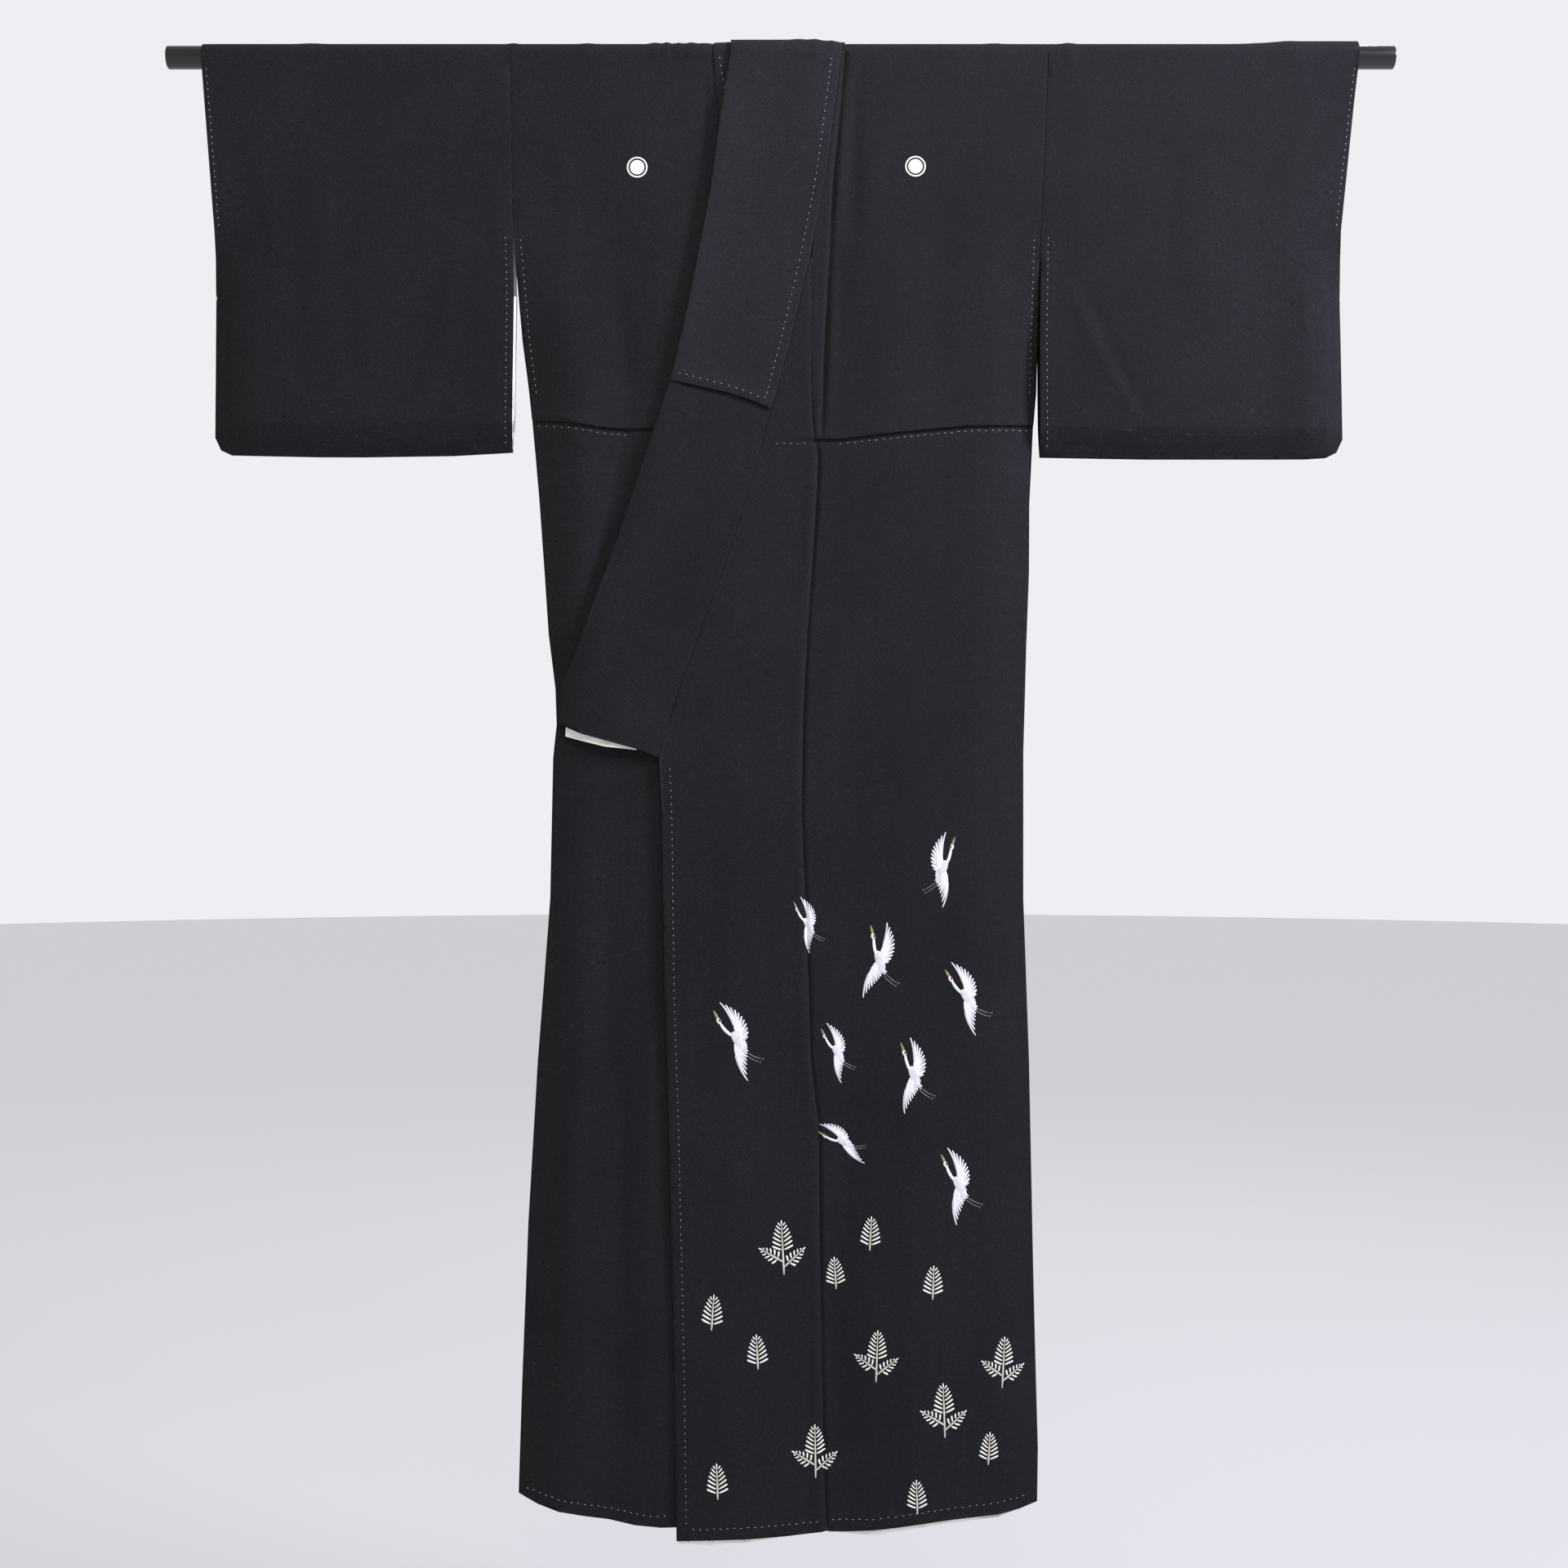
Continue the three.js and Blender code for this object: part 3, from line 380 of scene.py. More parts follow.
# short puckers beside seams and on the collar, with lines of (place across, height)
UPPER_TICKS = table("line width rise", [
    ([(6, -844), (26, -840)], 2.2, -0.9),
    ([(4, -858), (24, -852)], 2.0, 0.6),
    ([(10, -902), (28, -897)], 2.6, -1.0),
    ([(2, -1014), (24, -1006)], 2.4, -0.9),
    ([(8, -1026), (28, -1021)], 2.0, 0.6),
    ([(-130, -399), (-106, -399)], 2.0, -0.8),
    ([(-156, -474), (-122, -471)], 2.2, -0.8),
    ([(-63, -523), (-51, -521)], 1.8, -0.7),
    ([(46, -8), (62, -10)], 3.0, 0.9),
    ([(14, -6), (44, -12)], 3.0, -0.8),
])
UNDER_CREASES = table("line width rise", [
    ([(-240, -176), (-380, -168), (-560, -196), (-690, -232)], 12, -1.6),
    ([(-300, -206), (-470, -214), (-640, -236)], 14, 1.0),
    ([(-60, -250), (-220, -236), (-390, -240)], 16, 0.9),
    ([(-20, -84), (-100, -78), (-165, -82)], 7, -1.3),
    ([(-840, -202), (-1200, -178), (-1600, -174)], 12, -1.6),
    ([(-860, -222), (-1200, -222), (-1580, -214)], 14, 1.2),
    ([(-1000, -148), (-1300, -146), (-1600, -142)], 10, 0.8),
    ([(-1100, -250), (-1300, -256), (-1560, -262)], 12, -0.9),
])
BACK_CREASES = table("line width rise", [
    ([(-60, -96), (-220, -90), (-390, -94)], 14, 0.9),
    ([(-60, 112), (-240, 104), (-395, 110)], 16, -0.8),
    ([(-450, -168), (-900, -176), (-1500, -160)], 15, -1.1),
    ([(-440, 144), (-900, 132), (-1480, 150)], 14, 1.0),
    ([(-700, -58), (-1100, -66), (-1560, -52)], 18, 0.9),
    ([(-800, 64), (-1200, 56), (-1580, 70)], 12, -1.0),
    ([(-120, 206), (-300, 214), (-400, 208)], 14, 0.9),
    ([(-130, -214), (-300, -206), (-400, -212)], 13, -0.8),
])


def front_grooves(x, z):
    """Two deep lines down the left front: the overlap's seam, where the panel rolls down into a groove that
    deepens below the waist, and above it the crease that was pressed in beside the collar."""
    seam = along(OVERLAP_SEAM, z)
    strong = (0.3 + 0.7 * fade(z, -420, -445)) * fade(z, -212, -240) * (0.85 + 0.15 * np.sin(z / 43.0))
    roll = 0.7 * np.exp(-(((x - seam + 8.0) / 4.5) ** 2))
    sewn_groove = strong * (roll - 2.3 * np.exp(-(((x - seam) / 2.3) ** 2)))
    pressed = along(PRESSED_IN, z)
    held = fade(z, -432, -405) * (0.8 + 0.2 * np.sin(z / 29.0))
    roll = 1.2 * np.exp(-(((x - pressed - 8.0) / 5.5) ** 2))
    return sewn_groove + held * (roll - 2.5 * np.exp(-(((x - pressed) / 2.4) ** 2)))


def upper_creases(x, z, behind):
    """Left front, overlap and collar on top of the wrap, and the whole back."""
    front = sum(down_crease(x, z, crease) for crease in UPPER_CREASES)
    front = front + sum(cross_crease(x, z, crease) for crease in UPPER_TICKS)
    front = front + front_grooves(x, z) + 0.8 * slack(x, z, 0.4)
    front = front + tuck_lip(x, z, UPPER_TUCK) * fade(x, 0, 58)
    return np.where(behind, back_creases(x, z), front)


def under_creases(x, z, behind):
    """Right front, overlap and collar under the wrap, and the whole back."""
    seen = fade(x, -20, -80)  # the stretch that the wrap leaves open
    front = sum(down_crease(x, z, crease) for crease in UNDER_CREASES)
    front = front * seen + tuck_lip(x, z, UNDER_TUCK) * fade(x, -90, -130) + front_grooves(x, z)
    front = front + 0.8 * slack(x, z, 0.4) * (1 - seen) + 0.8 * slack(x, z, 1.9) * seen
    return np.where(behind, back_creases(x, z), front)


def back_creases(x, z):
    back = sum(down_crease(x, z, crease) for crease in BACK_CREASES)
    back = back - 0.8 * np.exp(-((x / 2.2) ** 2)) + 0.45 * np.exp(-(((x - 7) / 4.5) ** 2))
    return back + tuck_lip(x, z, BACK_TUCK) + 0.8 * slack(x, z, 3.1)


def crepe(name, dark, light):
    """Matt silk crepe of hard-twisted yarn: a pebbled grain that breaks up light, a soft sheen at grazing
    angles and hardly any gloss. The real pebble is about 1 mm and is drawn at 1.6 mm so that it shows."""
    material, output = bare_material(name)
    place = add_node(material, "ShaderNodeTexCoord").outputs["Object"]
    stretched = add_node(material, "ShaderNodeMapping", {"Vector": place, "Scale": (1.0, 1.0, 0.72)})
    tall = stretched.outputs["Vector"]
    pebble = add_node(material, "ShaderNodeTexNoise", {
        "Vector": tall, "Scale": 620, "Detail": 3, "Roughness": 0.62,
    })
    yarn = add_node(material, "ShaderNodeTexVoronoi", {
        "Vector": tall, "Scale": 900, "Randomness": 0.9,
    }, feature="F1")
    patch = add_node(material, "ShaderNodeTexNoise", {
        "Vector": place, "Scale": 7, "Detail": 4, "Roughness": 0.55,
    })
    grain = add_node(material, "ShaderNodeMath", {
        0: pebble.outputs["Fac"], 1: yarn.outputs["Distance"],
    }, operation="ADD")
    tone = add_node(material, "ShaderNodeMapRange", {
        "Value": grain.outputs["Value"], "From Min": 0.55, "From Max": 1.25, "To Min": 0.0, "To Max": 1.0,
    })
    ink = add_node(material, "ShaderNodeMix", {
        "Factor": tone.outputs["Result"], "A": linear(dark), "B": linear(light),
    }, data_type="RGBA")
    worn = add_node(material, "ShaderNodeMapRange", {
        "Value": patch.outputs["Fac"], "From Min": 0.35, "From Max": 0.7, "To Min": 0.9, "To Max": 1.12,
    })
    dyed = add_node(material, "ShaderNodeHueSaturation", {
        "Color": ink.outputs["Result"], "Value": worn.outputs["Result"],
    })
    bump = add_node(material, "ShaderNodeBump", {
        "Height": grain.outputs["Value"], "Strength": 0.42, "Distance": 0.0005,
    })
    return finished(material, output, add_node(material, "ShaderNodeBsdfPrincipled", {
        "Base Color": dyed.outputs["Color"], "Roughness": 0.8, "Specular IOR Level": 0.16,
        "Normal": bump.outputs["Normal"], "Sheen Weight": 0.05, "Sheen Roughness": 0.45,
        "Sheen Tint": linear("#aeb4c8"),
    }))


def habutae():
    """Plain-woven white silk: smooth and softly shining, with a fine even weave and faint unevenness.
    The real weave is about 0.2 mm and is drawn at 0.8 mm so that it shows."""
    material, output = bare_material("habutae_silk_white")
    place = add_node(material, "ShaderNodeTexCoord").outputs["Object"]
    weft = add_node(material, "ShaderNodeTexWave", {
        "Vector": place, "Scale": 390, "Distortion": 0.6, "Detail": 1,
    }, wave_type="BANDS", bands_direction="Z")
    cloud = add_node(material, "ShaderNodeTexNoise", {"Vector": place, "Scale": 30, "Detail": 3})
    tone = add_node(material, "ShaderNodeMix", {
        "Factor": cloud.outputs["Fac"], "A": linear("#f6f4ee"), "B": linear("#ffffff"),
    }, data_type="RGBA")
    bump = add_node(material, "ShaderNodeBump", {
        "Height": weft.outputs["Fac"], "Strength": 0.15, "Distance": 0.0002,
    })
    return finished(material, output, add_node(material, "ShaderNodeBsdfPrincipled", {
        "Base Color": tone.outputs["Result"], "Roughness": 0.5, "Normal": bump.outputs["Normal"],
        "Sheen Weight": 0.15, "Sheen Roughness": 0.4,
    }))


silk_crepe = crepe("silk_crepe_black", "#0c0c0e", "#1d1e22")
white_silk = habutae()
black_cloth = {}
for side, creases in (("left", upper_creases), ("right", under_creases)):
    for part in ("body_{}_upper", "body_{}_lower_front", "body_{}_lower_back", "okumi_{}"):
        node = part.format(side)
        black_cloth[node] = cloth(node, creases, [silk_crepe, white_silk])

# ---- Sleeves: one length of crepe each, folded over the rod and sewn along the bottom and below the
# cuff. Soft diagonal folds run from the shoulder to the corners.
LEFT_SLEEVE_CREASES = table("line width rise", [
    ([(-250, 318), (-330, 352), (-410, 396)], 9, 1.3),
    ([(-262, 336), (-340, 370), (-420, 412)], 9, -0.9),
    ([(-30, 590), (-150, 560), (-330, 536)], 15, 1.0),
    ([(-60, 420), (-200, 430), (-380, 470)], 20, -0.9),
    ([(-30, 338), (-120, 330), (-220, 322)], 12, 0.7),
])
RIGHT_SLEEVE_CREASES = table("line width rise", [
    ([(-40, -590), (-180, -566), (-350, -540)], 16, 1.0),
    ([(-80, -470), (-220, -488), (-390, -470)], 18, -0.9),
    ([(-200, -350), (-300, -372), (-410, -410)], 12, 1.0),
    ([(-40, -342), (-140, -334), (-230, -326)], 12, -0.7),
])


def sleeve_creases(folds, seed):
    def rise(x, z, behind):
        own = sum(down_crease(x, z, crease) for crease in folds)
        own = np.where(behind, -0.7 * own, own)
        return own + 0.7 * slack(x, z, seed) * np.where(behind, -1, 1) * fade(z, -435, -400)

    return rise


for side, folds, seed in (("left", LEFT_SLEEVE_CREASES, 4.2), ("right", RIGHT_SLEEVE_CREASES, 5.6)):
    node = "sleeve_" + side
    black_cloth[node] = cloth(node, sleeve_creases(folds, seed), [silk_crepe, white_silk])

# ---- Collar: a long strip of the same crepe sewn to the fronts and round the neck, folded double,
# with a shorter over-collar on it. It lies on the panels and takes their creases.
COLLAR_EDGE = [  # (height, place across)
    (-740, -239), (-640, -206), (-500, -146), (-356, -120), (-181, -85), (-6, -53),
]
# the over-collar in front and at the back neck is in a lighter copy of the same crepe: a painted highlight,
# the light that the over-collar catches painted into its colour
over_collar_crepe_painted_lighter = crepe("silk_crepe_black_over_collar_painted_light", "#0f0f12", "#222328")


def collar_creases(x, z, behind):
    """The left collar takes the panels' creases, and its folded edge stands a little off the right front."""
    stands_off = 3.4 * np.exp(-(((x - along(COLLAR_EDGE, z)) / 24.0) ** 2)) * fade(z, -6, -80)
    return upper_creases(x, z, behind) + stands_off


def over_collar_creases(x, z, behind):
    """The over-collar lies on the collar, and its end curls up off it."""
    curl = 1.9 * np.exp(-(((z - along(OVER_COLLAR_END, x)) / 13.0) ** 2)) * fade(x, -122, -96)
    return collar_creases(x, z, behind) + curl


def flat(x, z, behind):
    return 0 * x


for node, creases, silk in (
    ("collar_left", collar_creases, silk_crepe), ("over_collar_left", over_collar_creases, over_collar_crepe_painted_lighter),
    ("collar_right", under_creases, silk_crepe), ("over_collar_right", under_creases, silk_crepe),
    ("collar_back", flat, silk_crepe), ("over_collar_back", flat, over_collar_crepe_painted_lighter),
):
    black_cloth[node] = cloth(node, creases, [silk])

# ---- White under-layer: habutae silk that shows only past the hem, the right sleeve's open edge and
# the collar's end. It hangs just behind the black cloth.
LINING_DEEPER = 0.6


def lining_creases(x, z, behind):
    """The strips of the under-layer follow the front that covers them, a little deeper."""
    return upper_creases(x, z, behind) - LINING_DEEPER


for node, creases in (
    ("hem_lining_overlap", lining_creases), ("hem_lining_body", lining_creases),
    ("collar_end_lining", lining_creases),
    ("sleeve_lining_right", sleeve_creases(RIGHT_SLEEVE_CREASES, 5.6)),
):
    cloth(node, creases, [white_silk])

# ---- Crests: five plain white roundels, one on each breast, one on the back of each sleeve and one
# at the middle of the back. They are places that the dye left white, with a thin ring round a disc.
CRESTS = [
    {"x": -158.4, "z": -126, "behind": False},
    {"x": 148.5, "z": -125, "behind": False},
    {"x": -462, "z": -84, "behind": True},
    {"x": 462, "z": -84, "behind": True},
    {"x": 0, "z": -98, "behind": True},
]
DISC_RADIUS = 8.0
RING_RADIUS = 10.6
RING_HALF_WIDTH = 0.9
PATCH_RISE = 0.22
RAY_START = 0.12  # metres out from the rod's axis, clear of all the cloth
CLOTH_DEPTH = 16  # millimetres from the rod's axis, where a ray meets no cloth


def cloth_surface(pieces):
    """All the cloth as one surface that rays can be cast on, and where each piece's faces start in it."""
    points, faces, starts = [], [], []
    for piece in pieces:
        starts.append(len(faces))
        faces += (rows_of(piece.data.polygons, "vertices") + len(points)).tolist()
        points += rows_of(piece.data.vertices, "co", kind=np.float32).tolist()
    return BVHTree.FromPolygons(points, faces), starts


def lay(form, behind):
    """Lays flat work, drawn in millimetres with its height in y, on the cloth in front or behind, and
    gives the node of the cloth that most of it lies on."""
    out = 1 if behind else -1
    last = out * CLOTH_DEPTH * MM
    under = Counter()
    for vert in form.verts:
        x, height, z = vert.co
        place, _, face, _ = surface.ray_cast(Vector((x * MM, out * RAY_START, z * MM)), Vector((0, -out, 0)))
        if place is not None:
            last = place.y
            under[bisect_right(starts, face) - 1] += 1
        vert.co = (x * MM, last + out * height * MM, z * MM)
    return list(black_cloth)[under.most_common(1)[0][0]]


def worked(name, form, behind, slot, *materials):
    """Lays a figure, a crest or a row of stitches on the cloth, and notes which length carries it."""
    node = lay(form, behind)
    bmesh.ops.recalc_face_normals(form, faces=form.faces)
    piece = shown(name, form, *materials)
    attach(piece, "root")
    worked_on[node].append(piece)


def undyed():
    """Crepe that the dye left white: the same pebbled grain as the black, matt."""
    material, output = bare_material("undyed_crepe_white")
    place = add_node(material, "ShaderNodeTexCoord").outputs["Object"]
    pebble = add_node(material, "ShaderNodeTexNoise", {"Vector": place, "Scale": 620, "Detail": 3})
    tone = add_node(material, "ShaderNodeMix", {
        "Factor": pebble.outputs["Fac"], "A": linear("#d2d0c2"), "B": linear("#fbf9ee"),
    }, data_type="RGBA")
    bump = add_node(material, "ShaderNodeBump", {
        "Height": pebble.outputs["Fac"], "Strength": 0.3, "Distance": 0.0005,
    })
    return finished(material, output, add_node(material, "ShaderNodeBsdfPrincipled", {
        "Base Color": tone.outputs["Result"], "Roughness": 0.75, "Normal": bump.outputs["Normal"],
    }))


surface, starts = cloth_surface(black_cloth.values())
worked_on = {node: [] for node in black_cloth}  # the figures and stitches on each piece of cloth
white_dye = undyed()
for number, crest in enumerate(CRESTS, start=1):
    form = bmesh.new()
    dome = Matrix.Rotation(math.pi / 2, 4, "X") @ Matrix.Diagonal((DISC_RADIUS, DISC_RADIUS, PATCH_RISE, 1))
    bmesh.ops.create_uvsphere(form, u_segments=40, v_segments=14, radius=1, matrix=dome)
    profile = bmesh.ops.create_circle(
        form, segments=8, radius=1,
        matrix=Matrix.Translation((RING_RADIUS, 0, 0)) @ Matrix.Diagonal((RING_HALF_WIDTH, PATCH_RISE, 1, 1)),
    )["verts"]
    edges = [edge for edge in form.edges if edge.verts[0] in profile and edge.verts[1] in profile]
    bmesh.ops.spin(
        form, geom=[*profile, *edges], cent=(0, 0, 0), axis=(0, 1, 0), angle=2 * math.pi, steps=56,
        use_merge=True,
    )
    bmesh.ops.translate(form, verts=form.verts, vec=(crest["x"], 0, crest["z"]))
    worked(f"crest_{number}", form, crest["behind"], "white_dye", white_dye)

# ---- Cranes: flying cranes in white silk on the left front and overlap, brushed and couched feather by
# feather, with an olive bill, a red crown and grey legs. Each one is drawn here from the same few
# measures, turned, mirrored and bent by its own row of the table.
CRANES = table("x z size tilt above below neck flip", [
    (181, -901, 0.98, -4, -4, 6, 0.5, True),
    (28, -962, 0.74, 2, -7, 4, 4.0),
    (106, -1001, 1.02, -8, 5, -9, -1.0),
    (203, -1043, 1.0, 10, -8, 5, 3.0),
    (-50, -1090, 1.06, 6, -12, 9, 6.0),
    (60, -1103, 0.8, 4, -9, 6, 4.0),
    (144, -1128, 1.0, -2, -3, -6, 0.0),
    (68, -1203, 0.76, 36, -10, 10, 5.0),
    (194, -1250, 1.02, 3, -8, -2, 2.0),
])
# the shares of the wing where a feather starts and ends, and how far its end trails behind the wing's edge
FLIGHT_FEATHERS = table("from to trail width", [
    (0.30, 1.00, 0.0, 2.3),
    (0.28, 0.87, 2.9, 2.3),
    (0.26, 0.76, 5.4, 2.4),
    (0.24, 0.66, 7.8, 2.5),
    (0.22, 0.56, 9.8, 2.6),
    (0.18, 0.46, 11.4, 2.7),
    (0.12, 0.37, 12.6, 2.8),
    (0.05, 0.28, 13.4, 2.9),
    (-0.02, 0.19, 13.8, 3.0),
    (-0.09, 0.10, 13.8, 3.2),
    (-0.15, 0.01, 13.0, 3.4),
])
# two rows of short ones over the feet of the long ones, each row drawn as one broad stroke
SHORT_FEATHERS = table("from to trail width lift", [
    (-0.08, 0.74, 2.0, 5.2, 0.2),
    (-0.1, 0.42, 5.0, 7.4, 0.26),
])
FEATHER_FOOT = 0.3  # a long feather starts this share of its end's trail behind the wing's leading edge
FEATHER_LIFT = 0.06  # between one feather and the next that lies over it
THREAD_RISE = 0.42


def leaf(
    form, foot, tip, width, bend=0.0, taper=0.4, full=0.75, rise=THREAD_RISE, lift=0.0, finish=0,
    sides=8, steps=8,
):
    """One padded stroke of thread, drawn in x and z from its foot to its tip, with a height in y. taper
    narrows its tip, and a small value of full rounds its ends off bluntly."""
    before = set(form.verts)
    known = set(form.faces)
    bmesh.ops.create_uvsphere(form, u_segments=sides, v_segments=steps, radius=1)
    foot, tip = Vector(foot), Vector(tip)
    length = (tip - foot).length
    aim = (tip - foot) / length
    side = Vector((aim.y, -aim.x))
    made = [vert for vert in form.verts if vert not in before]
    threads = form.loops.layers.uv.verify()
    places = {}
    for vert in made:
        blunt = max(1e-4, 1 - vert.co.z ** 2) ** ((full - 1) / 2)
        run = (vert.co.z + 1) / 2
        across = vert.co.x * blunt * width / 2 * (1 - taper * run * run)
        places[vert] = (across * MM, run * length * MM)
        spot = foot + aim * run * length + side * (across + bend * 4 * run * (1 - run))
        vert.co = (spot.x, vert.co.y * blunt * rise + lift, spot.y)
    for face in form.faces:
        if face not in known:
            face.material_index = finish
            for loop in face.loops:
                loop[threads].uv = places[loop.vert]
    return made


def wing(form, shoulder, elbow, tip, up):
    """A crescent wing: long pointed feathers at its end, short ones behind a smooth leading edge."""
    shoulder, elbow, tip = Vector(shoulder), Vector(elbow), Vector(tip)
    bow = (elbow - (shoulder + tip) / 2) / 2

    def edge(share, trail):
        place = (1 - share) ** 2 * shoulder + 2 * share * (1 - share) * elbow + share ** 2 * tip
        ahead = (1 - share) * (elbow - shoulder) + share * (tip - elbow)
        return place + up * trail * Vector((ahead.y, -ahead.x)).normalized()

    def stroke(feather, foot_trail, **look):
        foot, end = edge(feather["from"], foot_trail), edge(feather["to"], feather["trail"])
        aim = (end - foot).normalized()
        bend = (feather["to"] - feather["from"]) ** 2 * bow.dot(Vector((aim.y, -aim.x)))
        return leaf(form, foot, end, feather["width"], bend=bend, **look)

    made = []
    for number, feather in enumerate(FLIGHT_FEATHERS):
        made += stroke(
            feather, feather["trail"] * FEATHER_FOOT, taper=0.15, full=0.55, finish=(number + 1) % 2,
            lift=FEATHER_LIFT * (number % 3),
        )
    for feather in SHORT_FEATHERS:
        made += stroke(feather, feather["trail"], taper=0.6, full=0.8, lift=feather["lift"])
    return made


def crane(form, row):
    """One crane: wings, body, tail, neck, head, crown, bill and legs, in the order that they overlap. Its
    finishes are white, pearl, red, olive and taupe."""
    above, below = row["above"], row["below"]
    made = wing(form, (0.5, 5.0), (0.35 * above + 6.0, 25.0), (above, 43.0), 1)
    made += wing(form, (-1.8, -1.0), (0.45 * below - 7.5, -21.0), (below, -42.0), -1)
    made += leaf(form, (-2.0, 11.0), (6.5, -12.5), 10.0, bend=-0.8, taper=0.35, lift=0.3, finish=1)
    for end in ((11.0, -13.5), (12.5, -11.0)):
        made += leaf(form, (4.0, -6.0), end, 3.2, full=0.6, lift=0.16, finish=1)
    bend = row["neck"]
    nape = Vector((-8.0 - bend, 24.0 - 0.3 * bend))
    made += leaf(form, (-1.6, 6.0), nape, 3.5, bend=-0.9 - 0.12 * bend, taper=0.12, full=0.6, lift=0.24)
    made += leaf(form, nape - Vector((-0.4, 1.6)), nape + Vector((-2.0, 4.6)), 4.8, taper=0.1, lift=0.34)
    crown, bill = nape + Vector((0.7, 0.0)), nape + Vector((-1.3, 3.2))
    made += leaf(form, crown, nape + Vector((-0.3, 3.8)), 2.6, taper=0.1, lift=0.5, finish=2)
    made += leaf(form, bill, nape + Vector((-5.4, 13.0)), 3.6, taper=0.8, lift=0.3, finish=3)
    for start, end, curl in (((10.5, -12.0), (25.0, -20.5), 2.2), ((8.6, -14.0), (22.4, -23.6), 2.0)):
        made += leaf(form, start, end, 0.95, rise=0.25, bend=0.7, taper=0.0, full=0.4, finish=4)
        for toe in ((3.0, 0.3), (curl, -1.3)):
            made += leaf(form, end, Vector(end) + Vector(toe), 0.8, rise=0.25, taper=0.2, finish=4, steps=5)
    return made


def place_on(form, verts, row):
    """Turns, sizes and moves drawn work to its place across and height."""
    hand = -1 if row.get("flip") else 1
    turn = Matrix.Rotation(math.radians(row["tilt"]) * -hand, 4, "Y")
    size = Matrix.Diagonal((row["size"] * hand, 1, row["size"], 1))
    bmesh.ops.transform(form, verts=verts, matrix=Matrix.Translation((row["x"], 0, row["z"])) @ turn @ size)


def stitched(name, light, dark, spacing=0.75, gloss=0.42):
    """Flat silk thread laid side by side: a soft satin shine that runs along each stroke. A real thread is
    0.3 mm wide and is drawn wider so that it shows."""
    material, output = bare_material(name)
    stroke_place = add_node(material, "ShaderNodeUVMap").outputs["UV"]
    thread = add_node(material, "ShaderNodeTexWave", {
        "Vector": stroke_place, "Scale": math.pi / (10 * spacing * MM), "Distortion": 0.8, "Detail": 1,
    }, wave_type="BANDS", bands_direction="X")
    place = add_node(material, "ShaderNodeTexCoord").outputs["Object"]
    cloud = add_node(material, "ShaderNodeTexNoise", {"Vector": place, "Scale": 160, "Detail": 2})
    mixed = add_node(material, "ShaderNodeMath", {
        0: thread.outputs["Fac"], 1: cloud.outputs["Fac"],
    }, operation="MULTIPLY")
    tone = add_node(material, "ShaderNodeMapRange", {
        "Value": mixed.outputs["Value"], "From Min": 0.05, "From Max": 0.5,
    })
    shade = add_node(material, "ShaderNodeMix", {
        "Factor": tone.outputs["Result"], "A": linear(dark), "B": linear(light),
    }, data_type="RGBA")
    bump = add_node(material, "ShaderNodeBump", {
        "Height": thread.outputs["Fac"], "Strength": 0.35, "Distance": 0.0002,
    })
    return finished(material, output, add_node(material, "ShaderNodeBsdfPrincipled", {
        "Base Color": shade.outputs["Result"], "Roughness": gloss, "Normal": bump.outputs["Normal"],
    }))


crane_threads = [
    stitched("silk_thread_white", "#ffffff", "#e4e4ec"), stitched("silk_thread_pearl", "#f3f2f6", "#c3c2ce"),
    stitched("silk_thread_red", "#b5503c", "#7d2f25"), stitched("silk_thread_olive", "#a7a273", "#6c683f"),
    stitched("silk_thread_taupe", "#8d827a", "#4c4541", gloss=0.6),
]
for number, row in enumerate(CRANES, start=1):
    form = bmesh.new()
    place_on(form, crane(form, row), row)
    worked(f"crane_{number}", form, False, "silver_thread", *crane_threads)

# ---- Young pines: sprigs of slanting needles on a stem, alone or in threes, in silver and cream thread
# along the hem, in front and on round the left side of the back.
PINES = table("x z size tilt three behind", [
    (2, -1316, 1.0, 3, True),
    (106, -1436, 0.95, -2, True),
    (180, -1496, 1.0, 2, True),
    (246, -1444, 0.94, -3, True),
    (38, -1541, 0.98, 1, True),
    (99, -1302, 0.95, -3),
    (60, -1346, 0.9, 4),
    (168, -1356, 0.95, -2),
    (-75, -1388, 1.0, -4),
    (-26, -1432, 0.98, 3),
    (-70, -1574, 1.0, 2),
    (230, -1540, 0.92, -3),
    (150, -1592, 0.95, 2),
    (236, -1508, 0.95, 3, False, True),
    (168, -1560, 0.98, -2, True, True),
    (92, -1584, 0.92, 2, False, True),
])
SINGLE = [{"foot": (0, -20), "aim": 0, "stalk": 7, "pairs": 7, "reach": 13.0}]
THREE = [
    {"foot": (0, -32), "aim": 0, "stalk": 28, "pairs": 7, "reach": 12.8},
    {"foot": (0, -17), "aim": -57, "stalk": 7, "pairs": 5, "reach": 8.6},
    {"foot": (0, -23), "aim": 50, "stalk": 8, "pairs": 5, "reach": 8.4},
]
NEEDLE_GAP = 4.3
NEEDLE_SHARE = 0.56  # of the room across it that a needle takes; the rest is the gap beside it
NEEDLE_LEAN = (24, 28)  # degrees up from square to the stem at its lowest pair, and how much more at its top


